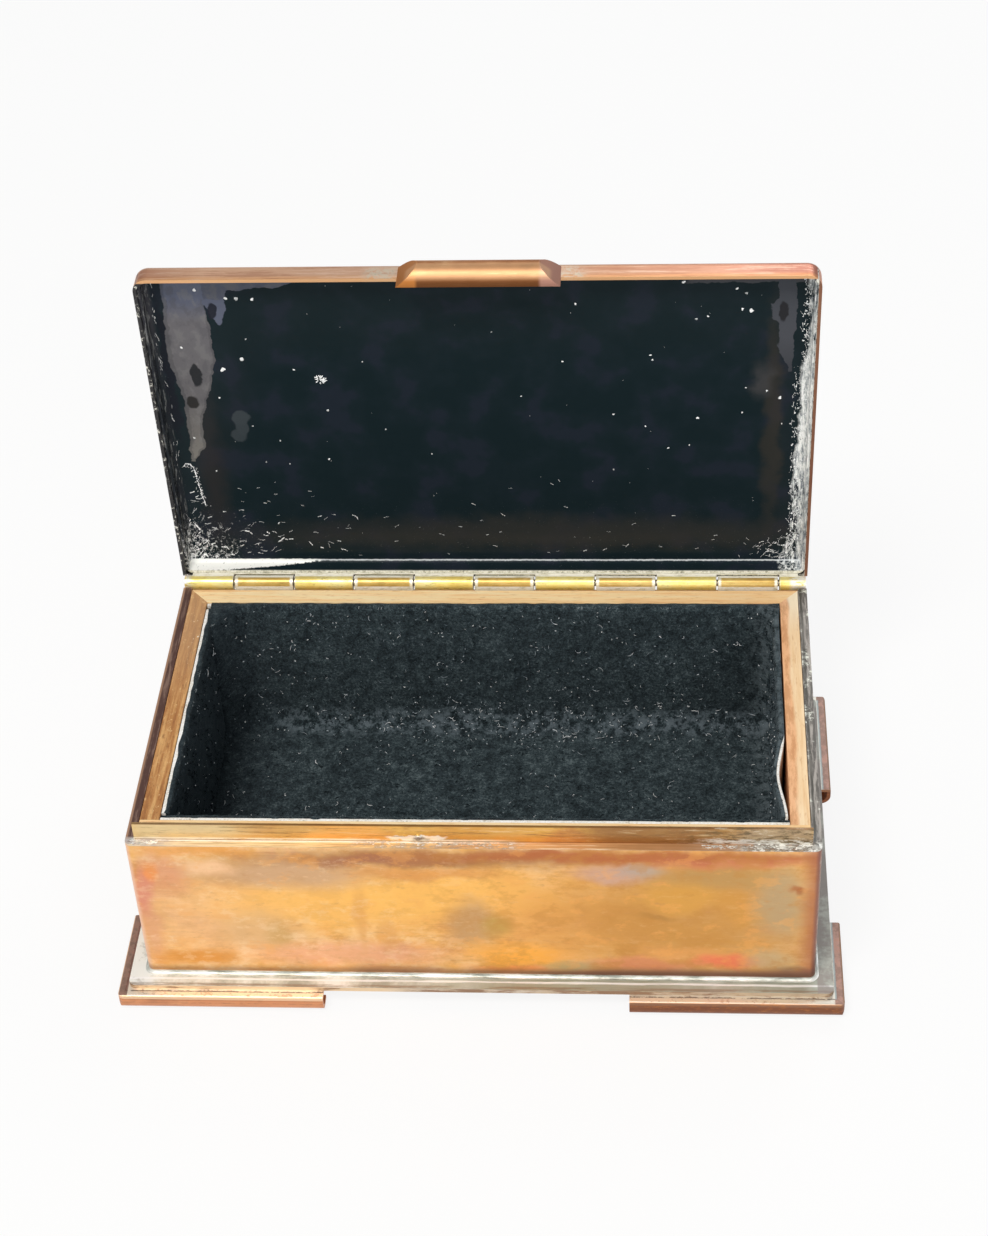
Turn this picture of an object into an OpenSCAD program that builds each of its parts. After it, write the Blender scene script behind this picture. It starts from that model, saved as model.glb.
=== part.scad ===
// Keepsake box: a copper tray on four moulded corner feet, lined with cedar and velvet-covered
// card, closed by a shallow copper lid on a full-width continuous hinge.
// The lid is drawn open, standing upright. Front is -Y, the hinge is at the back, Z = 0 is the table.

/* [Body] */
// Width of the copper tray
body_w = 151.4; // [120:0.1:190]
// Depth of the copper tray, front to back
body_d = 90; // [75:1:120]
// Height of the tray's walls above the base plate
wall_h = 41; // [32:0.5:60]
// Thickness of the copper sheet of the tray and the lid
sheet_t = 0.8; // [0.6:0.1:1.2]
// Radius of the tray's upright corners
corner_r = 1.6; // [1.6:0.1:4]
// Width of the ledge along each side rim, wall included
rim_side_w = 2.1; // [1.6:0.05:3]
// Thickness of the folded rim
rim_t = 1.0; // [0.6:0.1:2]

/* [Front strip] */
// Height of the upright strip above the rim
strip_h = 4.6; // [2:0.1:4.6]
// Depth of the strip below the rim
strip_drop = 7; // [3:0.5:15]
// Thickness of the strip
strip_t = 0.6; // [0.4:0.1:1]
// Radius of the catch nub at its foot
nub_r = 1.3; // [0.8:0.1:1.6]
// How far the nub stands out of the strip
nub_out = 0.4; // [0.2:0.1:0.5]
// Distance of the nub from the middle, to the left
nub_x = 11.3; // [0:0.1:40]
// Gap between the nub and the inside of the shut lid
strip_gap = 0.35; // [0.3:0.05:1.2]

/* [Base and feet] */
// Thickness of the base plate
base_t = 1.2; // [0.8:0.1:2]
// How far the base plate stands out round the walls
base_out = 4.0; // [3.5:0.1:7]
// Width and height of the solder fillet round the foot of the walls
fillet_w = 0.8; // [0.8:0.1:3]
// Height of the feet
foot_h = 4.8; // [4:0.1:8]
// How far the feet stand out past the base plate
foot_out = 2.4; // [1:0.1:4]
// Height of the upright face of a foot, under its top
foot_face_h = 2.2; // [1.6:0.1:3]
// Radius of the foot's outer upper edge
foot_edge_r = 0.6; // [0.3:0.05:0.8]
// Radius of the feet's outer corners in plan
foot_corner_r = 1.5; // [0.8:0.1:3]
// Thickness of the feet's sheet
foot_t = 0.9; // [0.6:0.1:1.2]
// Length of the left feet along the front and back
foot_left_len = 47; // [30:1:55]
// Length of the right feet along the front and back
foot_right_len = 48; // [30:1:55]
// Length of the front feet along the sides
foot_front_arm = 25; // [20:1:35]
// Length of the back feet along the sides
foot_back_arm = 34; // [20:1:38]

/* [Wood lining] */
// Thickness of the side boards
wood_side_t = 4.3; // [3:0.1:6]
// Thickness of the front board
wood_front_t = 5.2; // [3:0.1:7]
// Thickness of the back board
wood_back_t = 4.5; // [3:0.1:6]
// Thickness of the bottom board
wood_floor_t = 1.5; // [1:0.1:4]
// Gap between the boards and the metal round them
wood_gap = 0.15; // [0.1:0.05:0.3]
// Gap between the back board and the hinge
wood_hinge_gap = 1.3; // [0.8:0.1:2.5]

/* [Card lining] */
// Thickness of the card
card_t = 0.9; // [0.6:0.1:1.5]
// Thickness of the velvet with its pile
velvet_t = 1.2; // [0.8:0.1:2]
// Gap between neighbouring cards, and between card and board
card_gap = 0.15; // [0.1:0.05:0.3]
// Distance from the rim down to the top edge of the cards
card_below = 0.3; // [0:0.1:5]
// How far the right-hand card has warped inwards
warp_in = 2.6; // [0.5:0.1:4]
// Length of the warped stretch, from the front end
warp_len = 27; // [20:1:45]

/* [Hinge] */
// Radius of the knuckles
knuckle_r = 1.75; // [1.5:0.05:2.5]
// Radius of the pin
pin_r = 0.8; // [0.6:0.05:1]
// Running clearance between pin and knuckle
pin_gap = 0.05; // [0.03:0.01:0.1]
// Length from one knuckle to the next
knuckle_pitch = 14.7; // [10:0.1:20]
// Length of the part knuckle at the left end
knuckle_first = 12.4; // [4:0.1:14]
// Gap between neighbouring knuckles
knuckle_gap = 0.4; // [0.3:0.05:0.6]
// Thickness of the leaves
leaf_t = 0.8; // [0.5:0.05:0.8]
// Width of the leaf on the tray, down from the pin
leaf_body_w = 9; // [6:0.5:14]
// Clearance round the knuckles
turn_gap = 0.3; // [0.2:0.05:0.5]

/* [Lid] */
// Height of the lid's rim, plate included
lid_h = 6.1; // [5.8:0.1:12]
// Radius of the lid's upper edges
lid_edge_r = 2; // [1.6:0.1:2]
// Radius of the lid's front corners in plan
lid_corner_r = 3.2; // [2.6:0.1:8]
// Radius of the lid's corners at the hinge
lid_hinge_r = 2.2; // [2:0.1:3.5]
// How far the lid stands out past the tray at the front and sides
lid_over = 0.2; // [0.2:0.1:1]
// Gap between the lid's rim and the ledge when shut
lid_gap = 0.2; // [0.2:0.05:0.5]
// Thickness of the black lacquer inside the lid
lacquer_t = 0.6; // [0.4:0.1:0.8]
// Distance from the lid's lip to the edge of the lacquer
lacquer_back = 1.2; // [0.8:0.1:2.5]
// Angle from shut to the open position drawn
open_angle = 86.8; // [0:0.2:110]

/* [Thumb piece] */
// Length of the thumb piece against the lid
thumb_len = 36; // [20:1:60]
// Length of the thumb piece along its outermost line
thumb_tip_len = 27; // [12:1:50]
// Radius of the half-round thumb piece
thumb_r = 3.7; // [2:0.1:3.8]
// How far it reaches below the lid's lip
thumb_drop = 3.3; // [2.5:0.1:5]
// Distance of its middle from the lid's middle, to the right
thumb_x = 1.1; // [0:0.1:20]

/* [Hidden] */
$fn = 48;
over = 1;
coat_gap = 0.15;

// Levels and faces of the tray
base_z = foot_h;
floor_z = base_z + base_t;
rim_z = floor_z + wall_h;
front_y = -body_d / 2;
back_y = body_d / 2;
side_x = body_w / 2;

// Hinge axis: the leaves lie on the inner faces of both back walls
leaf_front_y = back_y - sheet_t - leaf_t;
axis_y = leaf_front_y + knuckle_r;
axis_z = rim_z;
turn_r = knuckle_r + turn_gap;
knuckle_count = 1 + ceil((body_w - knuckle_first) / knuckle_pitch);

// Outer size of the shut lid, and the front strip that it has to clear
lid_z = rim_z + lid_gap;
lid_w = body_w + 2 * lid_over;
lid_d = body_d + lid_over;
lid_mid_y = -lid_over / 2;
lid_front_y = front_y - lid_over;
strip_y = lid_front_y + sheet_t + lacquer_t + strip_gap + nub_out;
strip_end_x = lid_w / 2 - lid_corner_r + 1;
rim_front_w = strip_y - front_y;

// Outer faces of the wood lining
wood_x = side_x - rim_side_w - wood_gap;
wood_front_y = strip_y + strip_t + wood_gap;
wood_back_y = leaf_front_y - wood_hinge_gap;
board_z = floor_z + wood_floor_t;

// Inner faces of the wood lining
cavity_x = wood_x - wood_side_t;
cavity_front_y = wood_front_y + wood_front_t;
cavity_back_y = wood_back_y - wood_back_t;
card_top_z = rim_z - card_below;
lined_z = board_z + card_t + velvet_t;
panel_t = card_t + velvet_t;
side_front_y = cavity_front_y + card_gap + panel_t + card_gap;
side_back_y = cavity_back_y - card_gap - panel_t - card_gap;
warp_steps = 16;

// Leaf on the lid
leaf_lid_w = lid_gap + lid_h - max(lid_edge_r, sheet_t + lacquer_t + coat_gap);

copper = [0.85, 0.56, 0.33];
dark_copper = [0.62, 0.36, 0.22];
brass = [0.80, 0.66, 0.33];
solder = [0.70, 0.69, 0.66];
cedar = [0.80, 0.58, 0.38];
card_white = [0.92, 0.90, 0.85];
velvet_black = [0.07, 0.09, 0.10];
lacquer_black = [0.04, 0.04, 0.05];

// A rectangle with round corners, centred
module round_rect(w, d, r) {
    square([w - 2 * r, d], center = true);
    square([w, d - 2 * r], center = true);
    for (x = [-1, 1], y = [-1, 1])
        translate([x * (w / 2 - r), y * (d / 2 - r)])
            circle(r);
}

// The end view of a block whose two upper edges are round
module edge_profile(w, h, r) {
    translate([-w / 2, 0])
        square([w, h - r]);
    translate([-w / 2 + r, 0])
        square([w - 2 * r, h]);
    for (x = [-1, 1])
        translate([x * (w / 2 - r), h - r])
            circle(r);
}

// A block with round corners in plan and round upper edges, standing on Z = 0
module soft_block(w, d, h, edge_r, front_r, back_r) {
    translate([0, (front_r - back_r) / 2, 0])
        rotate([90, 0, 0])
            linear_extrude(d - front_r - back_r, center = true)
                edge_profile(w, h, edge_r);
    for (end = [[-1, front_r], [1, back_r]]) {
        intersection() {
            rotate([90, 0, 90])
                linear_extrude(w - 2 * end[1], center = true)
                    edge_profile(d, h, edge_r);
            translate([-w / 2, end[0] < 0 ? -d / 2 : 0, 0])
                cube([w, d / 2, h]);
        }
        for (x = [-1, 1])
            translate([x * (w / 2 - end[1]), end[0] * (d / 2 - end[1]), 0])
                rotate_extrude()
                    intersection() {
                        edge_profile(2 * end[1], h, edge_r);
                        square([end[1], h]);
                    }
    }
}

// A shallow pan with its mouth down
module pan(w, d, h, t, edge_r, front_r, back_r) {
    difference() {
        soft_block(w, d, h, edge_r, front_r, back_r);
        translate([0, 0, -over])
            soft_block(w - 2 * t, d - 2 * t, h - t + over, edge_r - t, front_r - t, back_r - t);
    }
}

// Turns what is drawn shut to the open position
module opened() {
    translate([0, axis_y, axis_z])
        rotate([-open_angle, 0, 0])
            translate([0, -axis_y, -axis_z])
                children();
}

// A round bar along the hinge axis
module axis_bar(r, x0, x1) {
    translate([x0, axis_y, axis_z])
        rotate([0, 90, 0])
            cylinder(r = r, h = x1 - x0);
}

// Tray of bent sheet with a rim folded inwards along the front and sides
module body_shell() {
    color(copper)
        difference() {
            union() {
                translate([0, 0, floor_z])
                    linear_extrude(wall_h)
                        difference() {
                            round_rect(body_w, body_d, corner_r);
                            square([body_w - 2 * sheet_t, body_d - 2 * sheet_t], center = true);
                        }
                translate([0, 0, rim_z - rim_t])
                    linear_extrude(rim_t)
                        difference() {
                            round_rect(body_w, body_d, corner_r);
                            translate([-side_x + rim_side_w, front_y + rim_front_w])
                                square([body_w - 2 * rim_side_w, body_d - rim_front_w - sheet_t]);
                        }
            }
            axis_bar(turn_r, -side_x - over, side_x + over);
        }
}

// Upright strip behind the front rim, with a small nub that holds the lid shut
module front_strip() {
    color(brass) {
        translate([-strip_end_x, strip_y, rim_z - strip_drop])
            cube([2 * strip_end_x, strip_t, strip_drop + strip_h]);
        translate([-nub_x, strip_y + strip_t / 2, rim_z + nub_r])
            rotate([90, 0, 0])
                cylinder(h = nub_out + strip_t / 2, r1 = nub_r, r2 = nub_r / 2);
    }
}

module base_plate() {
    color(dark_copper)
        translate([0, 0, base_z])
            linear_extrude(base_t)
                round_rect(body_w + 2 * base_out, body_d + 2 * base_out, corner_r);
}

// Hollow fillet of solder in the corner between wall and base plate
module fillet_profile() {
    difference() {
        square(fillet_w);
        translate([fillet_w, fillet_w])
            circle(fillet_w - 0.15);
    }
}

module base_solder() {
    color(solder)
        translate([0, 0, floor_z]) {
            for (side = [-1, 1]) {
                translate([side * side_x, 0, 0])
                    rotate([90, 0, side < 0 ? 180 : 0])
                        linear_extrude(body_d - 2 * corner_r, center = true)
                            fillet_profile();
                translate([0, side * back_y, 0])
                    rotate([90, 0, side * 90])
                        linear_extrude(body_w - 2 * corner_r, center = true)
                            fillet_profile();
            }
            for (x = [-1, 1], y = [-1, 1])
                translate([x * (side_x - corner_r), y * (back_y - corner_r), 0])
                    rotate([0, 0, atan2(y, x) - 45])
                        rotate_extrude(angle = 90)
                            translate([corner_r, 0])
                                fillet_profile();
        }
}

// Section of the foot moulding: X = 0 is its outermost line, inwards is -X, standing on Y = 0
module foot_profile() {
    curve_r = foot_h - foot_face_h;
    sole_w = 2;
    flange_w = curve_r + 4.5;
    joint = 0.05;
    translate([-curve_r, curve_r])
        intersection() {
            difference() {
                circle(curve_r);
                circle(curve_r - foot_t);
            }
            translate([0, -curve_r])
                square(curve_r);
        }
    translate([-curve_r - sole_w, 0])
        square([sole_w + joint, foot_t]);
    translate([-foot_t, curve_r - joint])
        square([foot_t, foot_face_h - foot_edge_r + joint]);
    translate([-foot_edge_r, foot_h - foot_edge_r])
        intersection() {
            circle(foot_edge_r);
            translate([-joint, -joint])
                square(foot_edge_r + 2 * joint);
        }
    translate([-flange_w, foot_h - foot_t])
        square([flange_w - foot_edge_r, foot_t]);
}

// One foot, drawn for the front right corner: two arms of the moulding, mitred
module foot(front_len, side_len) {
    out_x = side_x + base_out + foot_out;
    out_y = back_y + base_out + foot_out;
    reach = 2 * (body_w + body_d);
    intersection() {
        union() {
            intersection() {
                translate([out_x, -out_y, 0])
                    rotate([90, 0, 0])
                        linear_extrude(2 * side_len, center = true)
                            foot_profile();
                translate([out_x, -out_y, -over])
                    linear_extrude(foot_h + 2 * over)
                        polygon([[0, 0], [0, reach], [-reach, reach]]);
            }
            intersection() {
                translate([out_x, -out_y, 0])
                    rotate([90, 0, -90])
                        linear_extrude(2 * front_len, center = true)
                            foot_profile();
                translate([out_x, -out_y, -over])
                    linear_extrude(foot_h + 2 * over)
                        polygon([[0, 0], [-reach, reach], [-reach, 0]]);
            }
        }
        translate([0, 0, -over])
            linear_extrude(foot_h + 2 * over)
                round_rect(2 * out_x, 2 * out_y, foot_corner_r);
    }
}

module foot_front_right() {
    color(copper)
        foot(foot_right_len, foot_front_arm);
}

module foot_front_left() {
    color(copper)
        mirror([1, 0, 0])
            foot(foot_left_len, foot_front_arm);
}

module foot_back_right() {
    color(copper)
        mirror([0, 1, 0])
            foot(foot_right_len, foot_back_arm);
}

module foot_back_left() {
    color(copper)
        rotate([0, 0, 180])
            foot(foot_left_len, foot_back_arm);
}

module wood_floor() {
    color(cedar)
        translate([-wood_x, wood_front_y, floor_z])
            cube([2 * wood_x, wood_back_y - wood_front_y, wood_floor_t]);
}

module wood_front() {
    color(cedar)
        translate([-wood_x, wood_front_y, board_z])
            cube([2 * wood_x, wood_front_t, rim_z - board_z]);
}

// The back board meets both side boards in a mitre
module wood_back() {
    color(cedar)
        translate([0, 0, board_z])
            linear_extrude(rim_z - board_z)
                polygon([[-wood_x, wood_back_y], [wood_x, wood_back_y],
                         [cavity_x, cavity_back_y], [-cavity_x, cavity_back_y]]);
}

module wood_side() {
    color(cedar)
        translate([0, 0, board_z])
            linear_extrude(rim_z - board_z)
                polygon([[cavity_x, cavity_front_y], [wood_x, cavity_front_y],
                         [wood_x, wood_back_y], [cavity_x, cavity_back_y]]);
}

module wood_right() {
    wood_side();
}

module wood_left() {
    mirror([1, 0, 0])
        wood_side();
}

// One layer of the bottom lining
module floor_layer(z, t) {
    translate([-cavity_x + card_gap, cavity_front_y + card_gap, z])
        cube([2 * (cavity_x - card_gap), cavity_back_y - cavity_front_y - 2 * card_gap, t]);
}

// One upright layer along the front or back, from y on
module long_layer(y, t) {
    translate([-cavity_x + card_gap, y, lined_z])
        cube([2 * (cavity_x - card_gap), t, card_top_z - lined_z]);
}

// How far the warped card stands off the board, at a distance from its front end
function warp(s) = s > warp_len ? 0 : warp_in * pow(sin(180 * s / warp_len), 2);

// One upright layer at the side, from the board inwards, with a share of the warp
module side_layer(inset, t, bend) {
    x = cavity_x - card_gap - inset;
    steps = bend > 0 ? warp_steps : 0;
    outer = [for (i = [0 : steps])
             let (s = i * warp_len / warp_steps)
             [x - bend * warp(s), side_front_y + s]];
    inner = [for (i = [steps : -1 : 0]) outer[i] - [t, 0]];
    back = [[x, side_back_y], [x - t, side_back_y]];
    translate([0, 0, lined_z])
        linear_extrude(card_top_z - lined_z)
            polygon(concat(outer, back, inner));
}

module card_floor() {
    color(card_white)
        floor_layer(board_z, card_t);
}

module velvet_floor() {
    color(velvet_black)
        floor_layer(board_z + card_t, velvet_t);
}

module card_front() {
    color(card_white)
        long_layer(cavity_front_y + card_gap, card_t);
}

module velvet_front() {
    color(velvet_black)
        long_layer(cavity_front_y + card_gap + card_t, velvet_t);
}

module card_back() {
    color(card_white)
        long_layer(cavity_back_y - card_gap - card_t, card_t);
}

module velvet_back() {
    color(velvet_black)
        long_layer(cavity_back_y - card_gap - panel_t, velvet_t);
}

module card_right() {
    color(card_white)
        side_layer(0, card_t, 1);
}

module velvet_right() {
    color(velvet_black)
        side_layer(card_t, velvet_t, 1);
}

module card_left() {
    color(card_white)
        mirror([1, 0, 0])
            side_layer(0, card_t, 0);
}

module velvet_left() {
    color(velvet_black)
        mirror([1, 0, 0])
            side_layer(card_t, velvet_t, 0);
}

// Left and right end of knuckle i
function knuckle_start(i) = i == 0 ? -side_x : -side_x + knuckle_first + (i - 1) * knuckle_pitch;
function knuckle_end(i) = min(side_x, -side_x + knuckle_first + i * knuckle_pitch);

// One leaf of the continuous hinge: a plate from the pin down, and every second knuckle
module hinge_leaf(width, plate_x, first) {
    half_gap = knuckle_gap / 2;
    difference() {
        union() {
            translate([-plate_x, leaf_front_y, axis_z - width])
                cube([2 * plate_x, leaf_t, width]);
            for (i = [first : 2 : knuckle_count - 1])
                axis_bar(knuckle_r, knuckle_start(i) + half_gap, knuckle_end(i) - half_gap);
        }
        axis_bar(pin_r + pin_gap, -side_x - over, side_x + over);
        for (i = [1 - first : 2 : knuckle_count - 1])
            axis_bar(turn_r, knuckle_start(i) - half_gap, knuckle_end(i) + half_gap);
    }
}

module hinge_leaf_body() {
    color(brass)
        hinge_leaf(leaf_body_w, side_x - sheet_t - coat_gap, 1);
}

module hinge_leaf_lid() {
    color(brass)
        opened()
            translate([0, 0, 2 * axis_z])
                mirror([0, 0, 1])
                    hinge_leaf(leaf_lid_w, lid_w / 2 - lid_hinge_r, 0);
}

module hinge_pin() {
    color(solder)
        axis_bar(pin_r, -side_x + knuckle_gap / 2, side_x - knuckle_gap / 2);
}

// Shallow lid: its back wall is cut away round the knuckles, and its side walls are
// rounded off there
module lid_shell() {
    color(copper)
        opened()
            difference() {
                translate([0, lid_mid_y, lid_z])
                    pan(lid_w, lid_d, lid_h, sheet_t, lid_edge_r, lid_corner_r, lid_hinge_r);
                axis_bar(turn_r, -lid_w, lid_w);
            }
}

// Black lacquer that covers the inside of the lid and climbs its walls
module lid_lacquer() {
    back_room = leaf_t + coat_gap;
    inset = sheet_t - coat_gap;
    color(lacquer_black)
        opened()
            translate([0, lid_mid_y - back_room / 2, lid_z + lacquer_back])
                pan(lid_w - 2 * sheet_t, lid_d - 2 * sheet_t - back_room,
                    lid_h - sheet_t - lacquer_back, lacquer_t, lid_edge_r - inset,
                    lid_corner_r - inset, lid_hinge_r - inset);
}

// Half-round bar with ends that slope away from the lid, on the middle of the lid's front
module thumb_piece() {
    color(copper)
        opened()
            translate([thumb_x, lid_front_y, lid_z - thumb_drop + thumb_r])
                intersection() {
                    rotate([90, 0, 90])
                        linear_extrude(thumb_len, center = true)
                            intersection() {
                                circle(thumb_r, $fn = 96);
                                translate([-thumb_r, -thumb_r])
                                    square([thumb_r, 2 * thumb_r]);
                            }
                    linear_extrude(4 * thumb_r, center = true)
                        polygon([[-thumb_len / 2, 0], [thumb_len / 2, 0],
                                 [thumb_tip_len / 2, -thumb_r], [-thumb_tip_len / 2, -thumb_r]]);
                }
}

body_shell();
front_strip();
base_plate();
base_solder();
foot_front_left();
foot_front_right();
foot_back_left();
foot_back_right();
wood_floor();
wood_front();
wood_back();
wood_left();
wood_right();
card_floor();
card_front();
card_back();
card_left();
card_right();
velvet_floor();
velvet_front();
velvet_back();
velvet_left();
velvet_right();
hinge_leaf_body();
hinge_leaf_lid();
hinge_pin();
lid_shell();
lid_lacquer();
thumb_piece();
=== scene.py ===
# %% [markdown]
# # A copper keepsake box, dressed for its portrait
#
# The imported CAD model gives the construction: a copper tray on four corner feet, a cedar and
# velvet lining, and a shallow lid on a continuous hinge. This lesson adds what years of use did
# to it: heat colours and solder on the copper, lint on the velvet, and old black lacquer inside
# the lid.

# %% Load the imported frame
import math
import random

import bpy
from mathutils import Matrix, Vector, noise


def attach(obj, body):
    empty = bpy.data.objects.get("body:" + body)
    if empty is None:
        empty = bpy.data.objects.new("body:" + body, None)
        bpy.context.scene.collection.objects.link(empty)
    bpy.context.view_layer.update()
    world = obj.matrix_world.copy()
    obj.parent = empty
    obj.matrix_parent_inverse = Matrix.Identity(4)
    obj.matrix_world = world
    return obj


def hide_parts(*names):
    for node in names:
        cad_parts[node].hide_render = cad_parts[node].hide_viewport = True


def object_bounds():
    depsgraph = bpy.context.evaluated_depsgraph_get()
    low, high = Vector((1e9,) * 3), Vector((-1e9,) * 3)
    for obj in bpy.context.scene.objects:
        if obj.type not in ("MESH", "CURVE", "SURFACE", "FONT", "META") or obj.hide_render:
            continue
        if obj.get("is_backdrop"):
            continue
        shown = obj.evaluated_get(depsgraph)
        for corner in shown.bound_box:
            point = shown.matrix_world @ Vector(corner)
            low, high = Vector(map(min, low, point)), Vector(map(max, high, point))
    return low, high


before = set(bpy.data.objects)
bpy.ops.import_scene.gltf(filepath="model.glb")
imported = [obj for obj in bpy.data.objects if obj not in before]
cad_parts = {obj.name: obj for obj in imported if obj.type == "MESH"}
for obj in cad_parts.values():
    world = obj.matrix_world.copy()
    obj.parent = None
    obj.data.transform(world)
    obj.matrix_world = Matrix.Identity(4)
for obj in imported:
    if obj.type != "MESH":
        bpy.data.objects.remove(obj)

MM = 0.001
cad_box = [list(corner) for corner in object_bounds()]

# %% [markdown]
# ## The camera
#
# Lines that are level or upright on a real box tell where the camera stood. The place and turns
# below come from such a fit: it looks 40 degrees down, a little from the right, and is tipped
# by 3 degrees. The lens is written for an image 1236 pixels high.

# %% The camera at the photograph's place
CAMERA_PLACE = (43.4 * MM, -425.2 * MM, 434.9 * MM)
CAMERA_YAW, CAMERA_PITCH, CAMERA_ROLL = 5.3, -40.2, -3.3
FOCAL_PIXELS, IMAGE_HEIGHT, SENSOR = 2513.8, 1236, 36

bpy.ops.object.camera_add(location=CAMERA_PLACE)
camera = bpy.context.object
turn = Matrix.Rotation(math.radians(CAMERA_YAW), 3, "Z")
turn = turn @ Matrix.Rotation(math.radians(90 + CAMERA_PITCH), 3, "X")
turn = turn @ Matrix.Rotation(math.radians(CAMERA_ROLL), 3, "Z")
camera.rotation_euler = turn.to_euler()
camera.data.sensor_width = SENSOR
camera.data.lens = FOCAL_PIXELS / IMAGE_HEIGHT * SENSOR
bpy.context.scene.camera = camera
bpy.context.scene.view_settings.view_transform = "Standard"
print("lens", round(camera.data.lens, 1), "mm")

# %% [markdown]
# ## Shader maths that reads like maths
#
# A Wire is the output of a node. A sum or product of Wires adds the Math nodes for it, so a
# mask can be written as an expression. A Finish is one material, and its `node` method makes
# every other kind of node.
#
# Old metal and lacquer get their look as a painter would build it: a ground colour, and coats
# over it. `layers` takes the ground and then pairs of a mask and a shade, from the lowest coat
# to the top one. Masks come from noise (`cloud`), from places on the object (`edge` and `band`,
# in millimetres), or from both multiplied.

# %% Wires and finishes
def tint(code):
    """A colour as painters write it, #rrggbb, turned into the linear light that shaders use."""
    parts = [int(code[i:i + 2], 16) / 255 for i in (1, 3, 5)]
    return tuple(p / 12.92 if p < 0.04045 else ((p + 0.055) / 1.055) ** 2.4
                 for p in parts) + (1.0,)


class Wire:
    """A node's output, for use in sums."""

    def __init__(self, finish, socket):
        self.finish, self.socket = finish, socket

    def math(self, operation, *terms):
        return self.finish.node("ShaderNodeMath", {"operation": operation}, *terms)

    def __add__(self, other):
        return self.math("ADD", self, other)

    def __sub__(self, other):
        return self.math("SUBTRACT", self, other)

    def __rsub__(self, other):
        return self.math("SUBTRACT", other, self)

    def __mul__(self, other):
        return self.math("MULTIPLY", self, other)

    def __truediv__(self, other):
        return self.math("DIVIDE", self, other)

    __radd__, __rmul__ = __add__, __mul__


class Finish:
    """One material: a Principled shader with its constants, and the nodes that feed it."""

    def __init__(self, name, **constants):
        self.material = bpy.data.materials.new(name)
        self.material.use_nodes = True
        self.tree = self.material.node_tree
        self.shader = self.tree.nodes["Principled BSDF"]
        self.feed(**constants)
        place = self.tree.nodes.new("ShaderNodeTexCoord")
        self.place = Wire(self, place.outputs["Object"])
        self.x, self.y, self.z = (self.axis(self.place, number) for number in range(3))

    def axis(self, place, number):
        """One of a place's three numbers, 0 for x."""
        return self.node("ShaderNodeSeparateXYZ", {}, place, out=number)

    def join(self, socket, value):
        if isinstance(value, Wire):
            self.tree.links.new(value.socket, socket)
        else:
            socket.default_value = value

    def node(self, kind, settings, *values, out=0, at=(), **named):
        """A node of this kind. Its sockets are filled in order, by number (at) or by name."""
        made = self.tree.nodes.new(kind)
        for key, value in settings.items():
            if key == "stops":
                ramp = made.color_ramp
                while len(ramp.elements) < len(value):
                    ramp.elements.new(0.5)
                for stop, (position, code) in zip(ramp.elements, value):
                    stop.position = position
                    stop.color = tint(code) if isinstance(code, str) else (code, code, code, 1)
            else:
                setattr(made, key, value)
        for socket, value in zip(made.inputs, values):
            self.join(socket, value)
        for number, value in at:
            self.join(made.inputs[number], value)
        for name, value in named.items():
            self.join(made.inputs[name.replace("_", " ")], value)
        return Wire(self, made.outputs[out])

    def feed(self, **values):
        """Joins values to the shader's own sockets."""
        for name, value in values.items():
            self.join(self.shader.inputs[name.replace("_", " ")], value)

    def dress(self, *names):
        """Gives this finish to CAD nodes or pieces."""
        for name in names:
            piece = bpy.data.objects[name]
            piece.data.materials.clear()
            piece.data.materials.append(self.material)
        print(self.material.name, len(self.tree.nodes), "nodes, on", *names)

# %% Everyday tools of a finish
def cloud(finish, size, detail=4, rough=0.55, stretch=(1, 1, 1), shift=0, colour=False):
    """Soft noise whose blotches are about size millimetres wide, longer where stretch is more."""
    scale = [1 / (size * MM * s) for s in stretch]
    at = finish.node("ShaderNodeMapping", {"vector_type": "POINT"}, finish.place,
                     Location=(shift, shift * 0.7, shift * 0.3), Scale=scale)
    return finish.node("ShaderNodeTexNoise", {}, out=int(colour), Vector=at, Scale=1.0,
                       Detail=detail, Roughness=rough)


def fade(value, start, end):
    """0 before start, 1 after end, and smooth between them."""
    if start > end:
        return 1 - fade(value, end, start)
    return value.finish.node("ShaderNodeMapRange", {"interpolation_type": "SMOOTHSTEP"},
                             Value=value, From_Min=start, From_Max=end)


def edge(value, start, end):
    """A fade between two lengths in millimetres."""
    return fade(value, start * MM, end * MM)


def band(value, start, end, soft=0.3):
    """1 between start and end, given in millimetres, and 0 outside, with soft ends."""
    return edge(value, start - soft, start + soft) * edge(value, end + soft, end - soft)


def larger(first, second):
    """The larger of two values at each place."""
    return first.math("MAXIMUM", first, second)


def blend(mask, under, over):
    """over shows where mask is 1, under where it is 0."""
    shades = [tint(c) if isinstance(c, str) else c for c in (under, over)]
    return mask.finish.node("ShaderNodeMix", {"data_type": "RGBA"}, out=2,
                            at=[(0, mask), (6, shades[0]), (7, shades[1])])


def layers(colour, *coats):
    """Lays coats over a colour, one after the other. A coat is its mask and its shade."""
    for mask, shade in coats:
        colour = blend(mask, colour, shade)
    return colour


def ramp(value, *stops):
    """A colour for each level of value."""
    return value.finish.node("ShaderNodeValToRGB", {"stops": stops}, value)


def bumps(finish, height, depth, strength=1.0):
    """Raises the surface by height times depth millimetres, in the shading only."""
    finish.feed(Normal=finish.node("ShaderNodeBump", {}, Height=height, Distance=depth * MM,
                                   Strength=strength))


USUAL_SOFTNESS = 0.6


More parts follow.
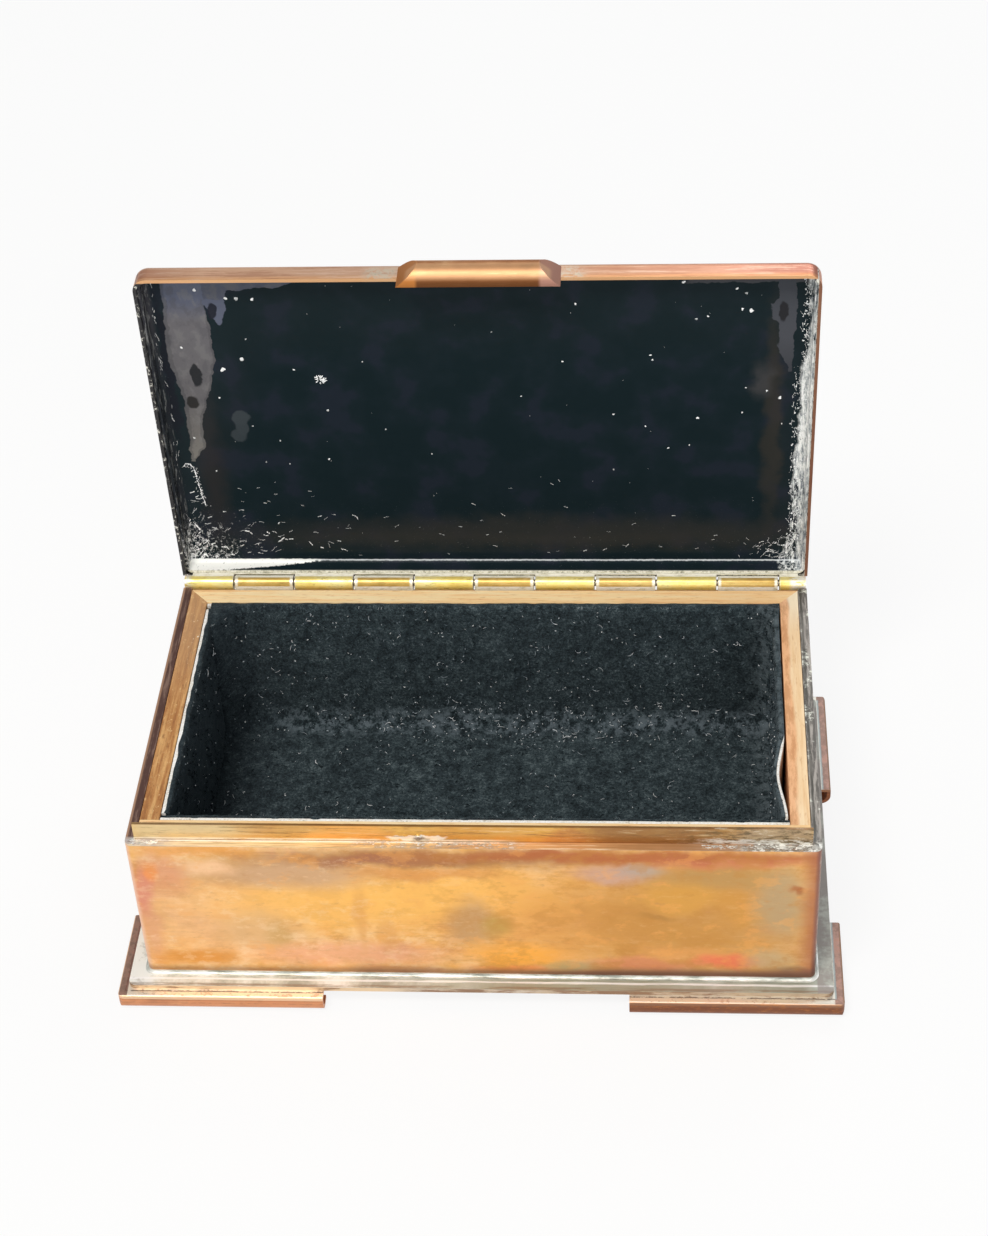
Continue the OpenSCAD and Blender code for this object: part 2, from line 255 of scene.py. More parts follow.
def stain(finish, place, colour, centre, reach, shade, strength, soft):
    """Lays a soft-edged spot over a colour. centre and reach are in millimetres."""
    away = place
    for operation, lengths in (("SUBTRACT", centre), ("DIVIDE", reach)):
        away = finish.node("ShaderNodeVectorMath", {"operation": operation}, away,
                           [length * MM for length in lengths])
    distance = finish.node("ShaderNodeVectorMath", {"operation": "LENGTH"}, away, out=1)
    return blend(fade(distance, 1 + soft, 1 - soft) * strength, colour, shade)


def spots(finish, place, colour, put, deep, marks):
    """Lays every spot of a list over a colour: what, centre, reach, shade, strength, softness.
    put turns the centre's two numbers into a point, and deep is the reach through the sheet."""
    for _, centre, (wide, high), shade, strength, *soft in marks:
        colour = stain(finish, place, colour, put(*centre), (wide, deep, high), shade, strength,
                       soft[0] if soft else USUAL_SOFTNESS)
    return colour


def stirred(finish, size, amount):
    """The place on the surface, shaken by noise, so that spots laid by it get uneven outlines."""
    shake = cloud(finish, size, detail=3, colour=True)
    shake = finish.node("ShaderNodeVectorMath", {"operation": "SUBTRACT"}, shake, (0.5, 0.5, 0.5))
    shake = finish.node("ShaderNodeVectorMath", {"operation": "SCALE"}, shake, Scale=amount * MM)
    return finish.node("ShaderNodeVectorMath", {"operation": "ADD"}, finish.place, shake)

# %% [markdown]
# ## Floor, backdrop and light
#
# The box stands on a pale floor that the camera sees as nearly white. The Light Path node gives
# rays from the camera, and rays that bounce off metal, that white, while the lamps stay at a
# plain level. About an eighth of the floor's look is ordinary paint, so the shadow under the box
# stays.

# %% A pale floor
FLOOR_SIZE, FLOOR_GLOW = 8, 0.87
CAMERA_RAY, GLOSSY_RAY, CLEAR_RAY = 0, 3, 6  # outputs of the Light Path node

bpy.ops.mesh.primitive_plane_add(size=FLOOR_SIZE)
floor = bpy.context.object
floor.name = "pale_floor"
pale = Finish("pale_floor", Base_Color=tint("#e9e8e6"), Roughness=0.9)
rays = [pale.node("ShaderNodeLightPath", {}, out=ray)
        for ray in (CAMERA_RAY, GLOSSY_RAY, CLEAR_RAY)]
seen = larger(larger(rays[0], rays[1]), rays[2])
white = pale.node("ShaderNodeEmission", {}, Color=(1, 1, 1, 1), Strength=1.0)
paint = Wire(pale, pale.shader.outputs[0])
dressed = pale.node("ShaderNodeMixShader", {}, seen * FLOOR_GLOW, at=[(1, paint), (2, white)])
pale.join(pale.tree.nodes["Material Output"].inputs[0], dressed)
pale.dress("pale_floor")
floor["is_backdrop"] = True

# %% Soft air round the box, which the camera sees as white
AIR_STRENGTH = 0.42

world = bpy.data.worlds.new("studio")
bpy.context.scene.world = world
world.use_nodes = True
air = world.node_tree
path = air.nodes.new("ShaderNodeLightPath")
shown = air.nodes.new("ShaderNodeMixShader")
soft_air, white_air = air.nodes["Background"], air.nodes.new("ShaderNodeBackground")
for background, shade, strength in ((soft_air, (0.93, 0.97, 1.0, 1), AIR_STRENGTH),
                                    (white_air, (1, 1, 1, 1), 1.0)):
    background.inputs[0].default_value = shade
    background.inputs[1].default_value = strength
sources = (path.outputs["Is Camera Ray"], soft_air.outputs[0], white_air.outputs[0])
for source, socket in zip(sources, shown.inputs):
    air.links.new(source, socket)
air.links.new(shown.outputs[0], air.nodes["World Output"].inputs[0])

# %% Three soft lamps
def lamp(name, place, aim, size, power, colour=(1, 1, 1)):
    """A square soft lamp at place, turned to aim. Both are in metres."""
    bpy.ops.object.light_add(type="AREA", location=place)
    made = bpy.context.object
    made.name = name
    made.data.size, made.data.energy, made.data.color = size, power, colour
    made.rotation_euler = (Vector(aim) - Vector(place)).to_track_quat("-Z", "Y").to_euler()
    print(name, power, "W")


BOX_MIDDLE = (0, 0, 0.05)
lamp("key", (-0.22, -0.50, 1.0), (0, 0, 0.04), 0.35, 7.6, (1.0, 0.97, 0.92))
lamp("front_fill", (0.35, -1.1, 0.35), BOX_MIDDLE, 0.9, 4.5)
lamp("back_rim", (0.3, 0.9, 0.8), BOX_MIDDLE, 0.6, 3.0, (0.92, 0.96, 1.0))

# %% [markdown]
# ## Places in millimetres
#
# Marks on this box are laid where they are on the real one, so places are written in
# millimetres. The open lid leans, so its marks use two numbers of its own: `run` is the distance
# from the hinge, and `rise` the depth from the hinge towards the lid's top plate.

# %% Places on the tray and on the leaning lid
OPEN_ANGLE = math.radians(86.8)
COSINE, SINE = math.cos(OPEN_ANGLE), math.sin(OPEN_ANGLE)
AXIS_Y, AXIS_Z = 45.15, 47.0
HALF_WIDTH = 75
PAINT_RISE = 4.9


def on_lid(x, run, rise=PAINT_RISE):
    """The point of the open lid at these millimetre numbers, on the lacquer unless said."""
    return Vector((x, AXIS_Y - run * COSINE + rise * SINE, AXIS_Z + run * SINE + rise * COSINE))


def lid_numbers(finish, place=None):
    """run and rise, in metres, of the finish's own place or of a shaken one."""
    y = finish.axis(place or finish.place, 1) - AXIS_Y * MM
    z = finish.axis(place or finish.place, 2) - AXIS_Z * MM
    return z * SINE - y * COSINE, y * SINE + z * COSINE


def from_left(finish):
    """0 at the box's left end and 1 at its right end."""
    return (finish.x / MM + HALF_WIDTH) / (2 * HALF_WIDTH)


def outline(value, *points):
    """A length that follows value in straight stretches. points are pairs in millimetres."""
    starts, lengths = zip(*points)
    first, reach = starts[0], starts[-1] - starts[0]
    low, high = min(lengths), max(lengths)
    stops = [((a - first) / reach, (b - low) / (high - low)) for a, b in points]
    return (ramp((value - first * MM) / (reach * MM), *stops) * (high - low) + low) * MM


print("lid's far edge at", tuple(round(v, 1) for v in on_lid(0, 90.35, 0.2)))

# %% [markdown]
# ## Heat-coloured copper
#
# Copper that is heated for soldering turns amber, peach, rose and brown in clouds. The finish
# has four layers: broad clouds, smaller mottles, brushed streaks along the sheet, and a few fine
# scratches. On the tray's front the larger clouds are then laid one by one.

# %% A copper finish for any part
def copper(name, stops, roughness=0.3, along=(7, 7, 0.35), cloud_size=24, shift=0.0, metal=1.0,
           streaks=1.0):
    """along draws the streaks out in x, y and z, and streaks is how strong they are."""
    finish = Finish(name, Metallic=metal)
    broad = cloud(finish, cloud_size, 5, 0.6, (1.6, 1.6, 1), shift)
    mottle = cloud(finish, cloud_size / 4, 5, 0.7, (1.5, 1.5, 1), shift + 8)
    streak = cloud(finish, 3.0, 3, 0.7, along, shift + 3)
    scratch = cloud(finish, 0.7, 4, 0.7, [2.2 * length for length in along], shift + 6)
    finish.broad = broad
    finish.colour = layers(
        ramp(broad * 0.65 + mottle * 0.35, *stops),
        (fade(streak, 0.52, 0.78) * 0.35 * streaks, "#a96a3c"),
        (fade(streak, 0.48, 0.2) * 0.4 * streaks, "#f6cf98"),
        (fade(scratch, 0.62, 0.7) * 0.3, "#96613a"),
        (fade(scratch, 0.38, 0.3) * 0.25, "#fbdcae"))
    finish.feed(Base_Color=finish.colour, Roughness=roughness + 0.14 * broad + 0.1 * streak)
    bumps(finish, streak * 0.7 + scratch * 0.3, 0.03, 0.35)
    return finish


HEAT = [(0.3, "#b9774a"), (0.4, "#dc9c58"), (0.48, "#f0b566"), (0.56, "#f6c78c"),
        (0.64, "#eeb287"), (0.74, "#cf9068")]

# %% The tray's front, cloud by cloud
tray = copper("tray_copper", HEAT, 0.36, shift=1.7, metal=0.6)
around = stirred(tray, 10, 6)
FRONT_CLOUDS = [
    # what, centre (x, z), reach (x, z), colour, strength
    ("peach left", (-58, 24), (16, 12), "#fbc894", 0.6),
    ("amber field", (-34, 29), (22, 8), "#ffc367", 0.8),
    ("golden middle", (-2, 32), (26, 7), "#ffc263", 0.8),
    ("orange middle right", (20, 24), (18, 12), "#e5a052", 0.6),
    ("ochre right", (50, 26), (28, 17), "#c98f44", 0.85),
    ("tan band", (-42, 39), (20, 4.5), "#cfa57e", 0.85),
    ("rose corner", (-68.5, 38), (5.5, 6), "#e29a76", 0.7),
    ("rose side", (-73, 24), (2.6, 14), "#e2a07c", 0.6),
    ("amber lip", (-60, 45.2), (13, 1.6), "#f0a552", 0.7),
    ("small amber patch", (-36.5, 43.2), (3.2, 1.3), "#f3ae62", 0.8),
    ("brown top band", (-6, 43.6), (38, 2.8), "#ae7846", 0.9),
    ("its deep part", (-22, 42.8), (12, 1.5), "#aa6c50", 0.7),
    ("orange under the band", (-10, 38.8), (14, 1.8), "#dc9650", 0.75),
    ("peach patch", (-57.5, 40.2), (5, 2.2), "#fccd9e", 0.85),
    ("orange foot", (-64, 11), (9, 2.4), "#df9236", 0.8),
    ("grey-ochre left", (-48, 20), (9, 6), "#deb27c", 0.6),
    ("olive spot", (-43.5, 18.5), (2.6, 3.6), "#cfa25e", 0.65),
    ("pink foot", (-28, 12.5), (20, 3.8), "#f0ae8a", 0.7),
    ("leaning shade", (-25.6, 24), (1.6, 9), "#e2a257", 0.6),
    ("second shade", (-19.5, 19), (1.8, 5), "#dfa05e", 0.5),
    ("grey spot", (-0.8, 23), (5.2, 7), "#cb9d68", 1.0),
    ("olive side", (4.6, 23), (3, 4), "#c39a4a", 0.8),
    ("bright amber", (9, 13.2), (10, 3.8), "#ffb246", 0.9),
    ("orange under the amber", (8, 8.6), (9, 1.2), "#f59455", 0.7),
    ("grey-green foot", (21, 9.4), (6, 1.8), "#b9a878", 0.75),
    ("rose foot", (38, 10.5), (12, 2.2), "#dd8c66", 0.75),
    ("glow over the rose", (48, 14.5), (10, 2.5), "#eaa560", 0.6),
    ("red foot", (56, 11.8), (6.5, 2.4), "#f07c58", 0.85),
    ("lilac patch", (31, 39.4), (8, 2.6), "#cda494", 0.75),
    ("grey-blue patch", (37, 40.5), (5, 1.8), "#b5a69a", 0.7),
    ("olive brown top", (54, 38), (14, 3.4), "#be955a", 0.8),
    ("red top band", (38, 44.4), (46, 2.0), "#b9683a", 0.9),
    ("rose line", (58, 42.6), (17, 1.6), "#d27a5c", 0.5),
    ("golden right", (45, 32), (9, 4.5), "#e2a545", 0.6),
    ("golden far right", (60, 29), (6, 5), "#d99a42", 0.6),
    ("brown dents", (40, 25.5), (4, 0.9), "#ad7a3a", 0.55),
    ("brown dent", (24, 29), (2.4, 1.5), "#cc9048", 0.5),
    ("grey right", (67, 30), (5, 9), "#b9a27c", 0.75),
    ("rust spot", (70.9, 34.6), (1.6, 0.8), "#b0602c", 0.7),
    ("rust under it", (71.6, 33.8), (0.8, 0.9), "#a85a2c", 0.6),
    ("rose left edge", (-73.6, 33), (2.4, 7), "#e08a74", 0.7),
    ("orange at the left edge", (-71.6, 38.4), (1.8, 2.2), "#f79a4e", 0.7),
    ("grey foot right", (65, 12.5), (5, 3.6), "#c3ab82", 0.7),
    ("brown low corner", (71, 9), (5, 1.6), "#97704c", 0.8),
]
patches = cloud(tray, 5, detail=6, rough=0.72, stretch=(1.7, 1, 1), shift=12)
leftward = edge(tray.x, 20, -40)
colour = layers(
    tray.colour,
    (fade(patches, 0.5, 0.64) * (0.15 + 0.25 * leftward), "#ffdcaa"),
    (fade(patches, 0.47, 0.34) * 0.55, "#c98a42"))
colour = spots(tray, around, colour, lambda x, z: (x, -45, z), 14, FRONT_CLOUDS)
print(len(FRONT_CLOUDS), "clouds on the tray's front")

# %% Fine mottles, and the colours of the tray's sides and foot
ochre = cloud(tray, 6, detail=5, rough=0.65, stretch=(1.5, 1, 1), shift=21)
fine = cloud(tray, 1.8, detail=6, rough=0.75, stretch=(3, 3, 1), shift=5)
sides = stirred(tray, 6, 1.5)
side_x = tray.axis(sides, 0)
left_corner = edge(side_x, -74.2, -75.4) * edge(tray.y, -40, -44)
right_side = edge(tray.x, 75.1, 75.6)
# The right side is painted dark: tarnish, and painted shade, since that face turns away from the
# lamps.
side_tarnish_and_shade = ramp(tray.broad * 0.5 + patches * 0.5, (0.38, "#6b4a42"), (0.46, "#94705f"),
               (0.53, "#a98572"), (0.6, "#8d7f79"))
near_front = right_side * edge(tray.y, -30, -44)
violet = edge(tray.x, 16, 30) + band(tray.x, -30, -8, 4) * 0.7
violet = violet * edge(tray.z + fine * 1.2 * MM, 10.8, 8.2)
foot_line = edge(tray.z, 9.2, 7.2)
colour = layers(
    colour,
    (fade(ochre, 0.5, 0.62) * (0.4 - 0.25 * leftward), "#c78a3e"),
    (fade(ochre, 0.46, 0.36) * 0.35, "#f2ac5c"),
    (fade(fine, 0.56, 0.7) * 0.4, "#c88d57"),
    (fade(fine, 0.45, 0.32) * (0.1 + 0.18 * leftward), "#fddcaa"),
    (fade(patches, 0.56, 0.64) * 0.2 * leftward, "#fee0b4"),
    (edge(side_x, 70.5, 74.8) * 0.7, "#ab6248"),
    (edge(tray.x, 74.2, 75.2) * 0.6, "#70484a"),
    (left_corner * 0.7, "#fbcbb0"),
    (right_side * 0.9, side_tarnish_and_shade),
    (near_front * fade(fine, 0.5, 0.58) * 0.6, "#57474a"),
    (right_side * fade(fine, 0.4, 0.35) * 0.7, "#c4bdb0"),
    (violet * 0.65, "#8c625a"),
    (foot_line * (0.55 + 0.4 * edge(tray.x, -20, 30)), "#7d5643"))

# %% [markdown]
# The ledges along the rim catch the light, so they get colours of their own. The front one
# changes along its length and has smears of solder over it. The left one is brown, the right
# one grey.

# %% The tray's ledges, with solder over the front one
stripes = cloud(tray, 0.8, detail=4, rough=0.7, stretch=(26, 1, 1), shift=9)
lumps = cloud(tray, 1.1, detail=6, rough=0.75, stretch=(2.5, 1.4, 1), shift=4)
along_front = ramp(from_left(tray), (0.0, "#e6cfb4"), (0.2, "#ffe3ae"), (0.36, "#fbd696"),
                   (0.5, "#efc08a"), (0.66, "#d8a26c"), (0.8, "#b98a60"), (1.0, "#ad9a8c"))
strip_foot = band(tray.y + lumps * 0.5 * MM, -43.3, -42.9, 0.12)
smeared = edge(tray.x, 14, 6) * edge(tray.x, -30, -20) * 0.8
corner = edge(tray.x, -64, -71)
silver = edge(tray.x, 56, 62)
ledge = layers(
    along_front,
    (fade(stripes, 0.52, 0.6) * 0.5, "#a87a4c"),
    (fade(stripes, 0.45, 0.38) * 0.6, "#fff2d0"),
    (strip_foot * edge(tray.x, 20, -10) * 0.8, "#fffaf0"),
    (smeared * fade(lumps, 0.46, 0.54) * 0.75, "#a8998e"),
    (smeared * fade(lumps, 0.57, 0.63), "#f4f0ea"),
    (corner * fade(lumps, 0.4, 0.5) * 0.85, "#bdb0ae"),
    (corner * fade(lumps, 0.58, 0.64), "#8c7a72"),
    (silver * fade(lumps, 0.4, 0.46) * 0.85, "#7d776e"),
    (silver * fade(lumps, 0.48, 0.55), "#f1f0ea"))
lengthways = cloud(tray, 0.7, detail=5, rough=0.75, stretch=(1, 12, 1), shift=15)
outer = edge(tray.x, -75.0, -75.4)
side_left = layers(
    "#5d4038",
    (fade(lengthways, 0.48, 0.62), "#8f7264"),
    (outer * 0.7, "#c99d7e"))
side_right = layers(
    "#5f5a54",
    (fade(lengthways, 0.42, 0.6), "#aba39b"),
    (fade(fine, 0.56, 0.62) * 0.9, "#eeeee0"),
    (band(tray.x, 73.9, 74.5, 0.2) * 0.7, "#45423a"))
rim_top = edge(tray.z, 46.7, 46.95)
front_rim = rim_top * edge(tray.y, -42, -43)
colour = layers(
    colour,
    (rim_top * edge(tray.x, -1, 1), side_right),
    (rim_top * edge(tray.x, 1, -1), side_left),
    (front_rim, ledge))
tray.feed(Base_Color=colour, Roughness=0.34 + 0.16 * tray.broad + 0.16 * front_rim,
          Metallic=0.6 - 0.3 * rim_top - 0.3 * right_side * (1 - rim_top))
tray.dress("body_shell")

# %% [markdown]
# ## Lid, thumb piece, base plate and feet
#
# The same copper finish serves them all, with other stops. The colour of the lid's front wall
# changes along its length, and the left half of its lip is black with lacquer that ran over.

# %% The lid's outside
lid_copper = copper("lid_copper", [(0.32, "#bd7451"), (0.42, "#d0865d"), (0.49, "#dd986c"),
                                   (0.55, "#e5a678"), (0.62, "#d68d65"), (0.74, "#bd755a")], 0.26,
                    shift=4.1, metal=0.95, streaks=0.5)
run, rise = lid_numbers(lid_copper)
sideways = lid_copper.x.math("ABSOLUTE", lid_copper.x)
front_wall = edge(run, 86, 89.5)
by_length = ramp(from_left(lid_copper), (0.0, "#bb8770"), (0.1, "#e8c0a2"), (0.34, "#d6b196"),
                 (0.42, "#d6c4ae"), (0.6, "#d4b59c"), (0.7, "#cb9a7c"), (0.9, "#cc957f"),
                 (1.0, "#a8625a"))
grain = cloud(lid_copper, 0.9, detail=5, rough=0.75, stretch=(22, 1.2, 1.2), shift=12)
crust = cloud(lid_copper, 1.3, detail=6, rough=0.75, shift=3)
beside = front_wall * (band(sideways, 17.5, 24, 1.5) * edge(rise, 5.4, 3))
lip = edge(rise, 0.34, 0.26)
right_lip = lip * edge(lid_copper.x, 0, 10) * edge(run, 89.6, 89.3)
side_faces = edge(sideways, 75.2, 75.13) * edge(rise, 4.6, 4.2)
black = larger(side_faces, lip * edge(lid_copper.x, 10, -10))
black = black * edge(run, 89.6, 89.3)
on_right = edge(lid_copper.x, 0, 10)
flecked = blend(fade(crust + 0.1 * on_right, 0.56, 0.61), "#201f21", "#dcdad0")
colour = layers(
    lid_copper.colour,
    (front_wall * 0.75, by_length),
    (front_wall * edge(rise, 2.0, 0.5) * 0.5, "#eda865"),
    (front_wall * fade(grain, 0.52, 0.6) * 0.45, "#a9694a"),
    (front_wall * fade(grain, 0.46, 0.38) * 0.45, "#f3d3b8"),
    (beside * fade(crust, 0.4, 0.56) * 0.7, "#d6cdb8"),
    (beside * fade(crust, 0.58, 0.66) * 0.5, "#9a8f7c"),
    (lip * edge(run, 89, 89.6) * 0.8, "#e9b684"),
    (right_lip * 0.75, "#61453c"),
    (black, flecked))
lid_copper.feed(Base_Color=colour, Metallic=0.75 - 0.65 * black)
lid_copper.dress("lid_shell")

# %% The thumb piece
thumb = copper("thumb_copper", [(0.3, "#7d4a28"), (0.45, "#a86c3e"), (0.6, "#bd8052"),
                                (0.75, "#8f5831")], 0.36, cloud_size=9, shift=7.7, metal=0.8)
run, rise = lid_numbers(thumb)
# shine is a painted highlight. The part of the thumb piece nearer the hinge is painted darker, as
# painted shade where its rounded face turns down.
shine = edge(run, 91.6, 92.6) * edge(rise, 1.2, 0.2)
colour = layers(
    thumb.colour,
    (edge(run, 93.0, 91.2) * 0.9, "#6a3f1e"),
    (edge(thumb.x, -11.9, -12.9) * 0.8, "#c9813f"),
    (edge(thumb.x, 14.1, 15.1) * 0.8, "#b98a7a"),
    (shine * 0.4, "#efc396"))
thumb.feed(Base_Color=colour)
thumb.dress("thumb_piece")

# %% The base plate
base = copper("base_copper", [(0.3, "#a98a72"), (0.5, "#c9b49b"), (0.7, "#dcd2c4")], 0.4,
              shift=2.2, metal=0.6)
tinned = cloud(base, 3, detail=6, rough=0.7, stretch=(5, 5, 1), shift=1)
plate_top = edge(base.z, 5.9, 5.98)
pewter = ramp(tinned, (0.36, "#a3a498"), (0.47, "#d0d1c6"), (0.58, "#f4f4ee"))
line = cloud(base, 1.2, detail=5, rough=0.7, stretch=(14, 1, 1), shift=5)
edge_y = base.y + line * 1.2 * MM
beside = edge(base.x, 75.9, 76.3) + edge(base.x, -75.9, -76.3)
# The white line along the plate's top is a painted highlight on the solder.
pewter = layers(
    pewter,
    (edge(base.x, -24, 0) * 0.65, "#8f9687"),
    (band(base.x, 4, 44, 8) * 0.5, "#83805f"),
    (band(edge_y, -46.5, -46.0, 0.2) * 0.8, "#ffffff"),
    (band(edge_y, -48.3, -47.5, 0.2) * fade(line, 0.42, 0.54) * 0.75, "#85705c"),
    (beside * fade(tinned, 0.6, 0.48) * 0.7, "#8d8280"))
colour = layers(
    base.colour,
    (fade(tinned, 0.44, 0.56) * 0.85, "#8f6a4e"),
    (edge(base.x, -14, -24) * fade(tinned, 0.62, 0.5) * 0.8, "#f0d2ab"),
    (plate_top * 0.95, pewter))
base.feed(Base_Color=colour, Roughness=0.36 + 0.2 * tinned, Metallic=0.6 - 0.45 * plate_top)
base.dress("base_plate")

# %% The four feet
FOOT_X, FOOT_Y = 79.7, 49.0  # where the rounded moulding starts

feet = copper("foot_copper", [(0.3, "#8a5034"), (0.42, "#b06c48"), (0.52, "#cc8558"),
                              (0.64, "#c87e5a"), (0.76, "#a9684e")], 0.32, along=(5, 5, 0.4),
              cloud_size=9, shift=6.3, metal=0.7)
cracks = cloud(feet, 0.9, detail=6, rough=0.8, stretch=(3.5, 3.5, 1), shift=2)
way_out = larger(*(axis.math("ABSOLUTE", axis) - reach * MM
                   for axis, reach in ((feet.x, FOOT_X), (feet.y, FOOT_Y))))
rightward = edge(feet.x, 0, 5)
crack = band(way_out + cracks * 1.4 * MM, 1.2, 1.5, 0.14) * fade(cracks, 0.4, 0.48)
beside = band(feet.x, -83, -79.9, 0.1) + band(feet.x, 79.9, 83, 0.1)
side_shade = layers(
    "#7f5546",
    (fade(cracks, 0.42, 0.58), "#a9796a"),
    (edge(way_out, 0.9, 0.4) * rightward, "#9ba5a4"))
flange = layers(
    "#fff0dc",
    (rightward, "#e2dccf"),
    (fade(cracks, 0.52, 0.6) * 0.5, "#a9825e"),
    (crack * 0.9, "#4f3a2e"),
    (beside * edge(way_out, 2.3, 2.0) * 0.85, side_shade))
cracked = rightward * fade(cracks, 0.5, 0.62)
# Painted highlight along the rounded upper edge of the moulding, and painted shade low down, where
# the moulding curls under.
colour = layers(
    feet.colour,
    (band(feet.z, 3.9, 4.72, 0.12) * 0.75, "#f6d3ae"),
    (edge(feet.z, 4.68, 4.76), flange),
    (edge(feet.z, 1.9, 0.4) * 0.6, "#8a5438"),
    (band(feet.z, 2.6, 3.0, 0.15) * fade(cracks, 0.45, 0.55) * 0.6, "#7c4a34"),
    (edge(feet.z, 3.8, 3.4) * (1 - rightward) * 0.35, "#f2b184"),
    (rightward * edge(feet.z, 4.72, 4.6) * 0.85, "#74462f"),
    (cracked * edge(feet.z, 4.72, 4.6) * 0.6, "#b8743c"))
feet.feed(Base_Color=colour)
feet.dress("foot_front_left", "foot_front_right", "foot_back_left", "foot_back_right")

# %% [markdown]
# ## Brass strip, hinge and solder
#
# The strip behind the front rim and the hinge are yellow brass. Solder ran along every joint, so
# plain grey or cream metal shows beside them. Where the solder lies is written with the places
# of the parts, such as the ends of the hinge's knuckles.

# %% The front strip
strip = copper("strip_brass", [(0.3, "#9c6a34"), (0.42, "#c9924a"), (0.52, "#e5b258"),
                               (0.62, "#ecc878"), (0.75, "#c29260")], 0.28, along=(7, 7, 0.5),
               cloud_size=11, shift=8.8, metal=0.6)
around = stirred(strip, 4, 5)
# The patches along the strip are partly the brass's own colour and solder, and partly painted
# reflections in its polished face.
STRIP_COLOURS_AND_REFLECTIONS = [
    # what, centre (x, z), reach (x, z), shade, strength, softness
    ("cream left end", (-62, 49), (15, 9), "#e3cc9c", 0.8, 0.45),
    ("brown left", (-41, 49), (10, 9), "#c9965a", 0.6, 0.45),
    ("orange", (-26, 48.5), (9, 5), "#f0ab58", 0.8, 0.45),
    ("gold right of the nub", (3, 49), (13, 9), "#d69a48", 0.75, 0.45),
    ("orange right", (21, 48), (5, 3), "#c98048", 0.6, 0.45),
    ("brown right", (42, 49), (18, 9), "#94683f", 0.85, 0.45),
    ("grey right end", (67, 49), (9, 9), "#a9957c", 0.8, 0.45),
    # The white streak beside the nub is a painted glint.
    ("solder by the nub", (-11.8, 48.3), (6.5, 0.9), "#fdf6ea", 0.9, 0.2),
    ("shade of the nub", (-11.3, 48.0), (1.8, 0.7), "#6f5c50", 0.85, 0.3),
]
colour = spots(strip, around, strip.colour, lambda x, z: (x, -43, z), 9, STRIP_COLOURS_AND_REFLECTIONS)
smear = cloud(strip, 1.6, detail=6, rough=0.75, stretch=(5, 1, 1), shift=2)
edge_line = edge(strip.z, 51.4, 51.55)
foot = edge(strip.z, 47.9, 47.4) * fade(smear, 0.62, 0.5)
foot = foot * (edge(strip.x, 12, 2) + edge(strip.x, 56, 62))
streaks = cloud(strip, 0.7, detail=5, rough=0.75, stretch=(14, 1, 1), shift=6)
scribble = cloud(strip, 1.1, detail=6, rough=0.8, stretch=(5, 1, 1), shift=13)
rightward = edge(strip.x, 36, 60)
low_silver = edge(strip.x, 44, 56)
low_silver = low_silver * edge(strip.z + scribble * 2 * MM, 49.7, 49)
colour = layers(
    colour,
    (edge_line * 0.7, "#8f6236"),
    (foot * 0.85, "#fff5de"),
    (fade(streaks, 0.54, 0.62) * 0.5, "#7a5632"),
    (fade(streaks, 0.42, 0.34) * 0.4, "#f3dcae"),
    (edge(strip.z, 47.35, 47.1) * 0.7, "#8a5c34"),
    (rightward * fade(scribble, 0.5, 0.58) * 0.8, "#5f5138"),
    (rightward * fade(scribble, 0.44, 0.38) * 0.7, "#d9cbb2"),
    (low_silver * fade(scribble, 0.56, 0.48) * 0.9, "#e9e7e0"))
strip.feed(Base_Color=colour, Roughness=0.26 + 0.3 * foot + 0.12 * strip.broad)
strip.dress("front_strip")

# %% The hinge
KNUCKLE_PITCH, FIRST_KNUCKLE = 14.7 * MM, -63.3 * MM


def hinge(name, stops, plate, ends_width, rim_code):
    """Brass knuckles with cream solder on the leaf. plate is 1 where the leaf is."""
    finish = copper(name, stops, 0.34, along=(4, 4, 0.5), cloud_size=6, shift=3.3, metal=0.45)
    to_end = finish.node("ShaderNodeMath", {"operation": "PINGPONG"},
                         finish.x - FIRST_KNUCKLE, KNUCKLE_PITCH / 2)
    crumbs = cloud(finish, 1.1, detail=6, rough=0.75, stretch=(3, 1, 1), shift=5)
    ends = edge(to_end, ends_width + 0.25, ends_width - 0.25)
    leaf = plate(finish)
    pale_leaf = ramp(crumbs, (0.3, "#a59c82"), (0.4, "#d9d3ba"), (0.52, "#f4f0e2"))
    rough_end = edge(finish.x, 71.3, 72.3)
    rough_end = rough_end + edge(finish.x, -73.3, -74.9)
    colour = layers(
        finish.colour,
        (fade(crumbs, 0.55, 0.66) * 0.5, "#98793a"),
        (edge(to_end, 0.32, 0.22) * 0.8, "#6f5a34"),
        (ends * edge(to_end, 0.2, 0.34) * 0.9, rim_code),
        (leaf, pale_leaf),
        (rough_end * fade(crumbs, 0.6, 0.5), "#f3efe0"))
    finish.feed(Base_Color=colour, Metallic=0.45 - 0.35 * leaf, Roughness=0.34 + 0.25 * leaf)
    return finish


def lid_leaf(finish):
    """1 on the leaf that is fixed to the lid."""
    run, rise = lid_numbers(finish)
    return edge(rise, 0.1, 0.5) * edge(run, 1.45, 1.65)


def tray_leaf(finish):
    """1 on the leaf that is fixed to the tray."""
    return larger(edge(finish.z, 47.3, 47.0), edge(finish.y, 44.8, 45.1))


hinge("lid_hinge_brass", [(0.3, "#ecca60"), (0.46, "#ffe888"), (0.62, "#fff3ae")], lid_leaf, 0.5,
      "#efe2b4").dress("hinge_leaf_lid")
hinge("tray_hinge_brass", [(0.3, "#a8843c"), (0.48, "#cda958"), (0.64, "#dcc07a")], tray_leaf,
      0.95, "#f6f0da").dress("hinge_leaf_body")
pin = Finish("pin_steel", Base_Color=tint("#a39d92"), Metallic=1.0)
pin.feed(Roughness=0.3 + 0.2 * cloud(pin, 2))
pin.dress("hinge_pin")

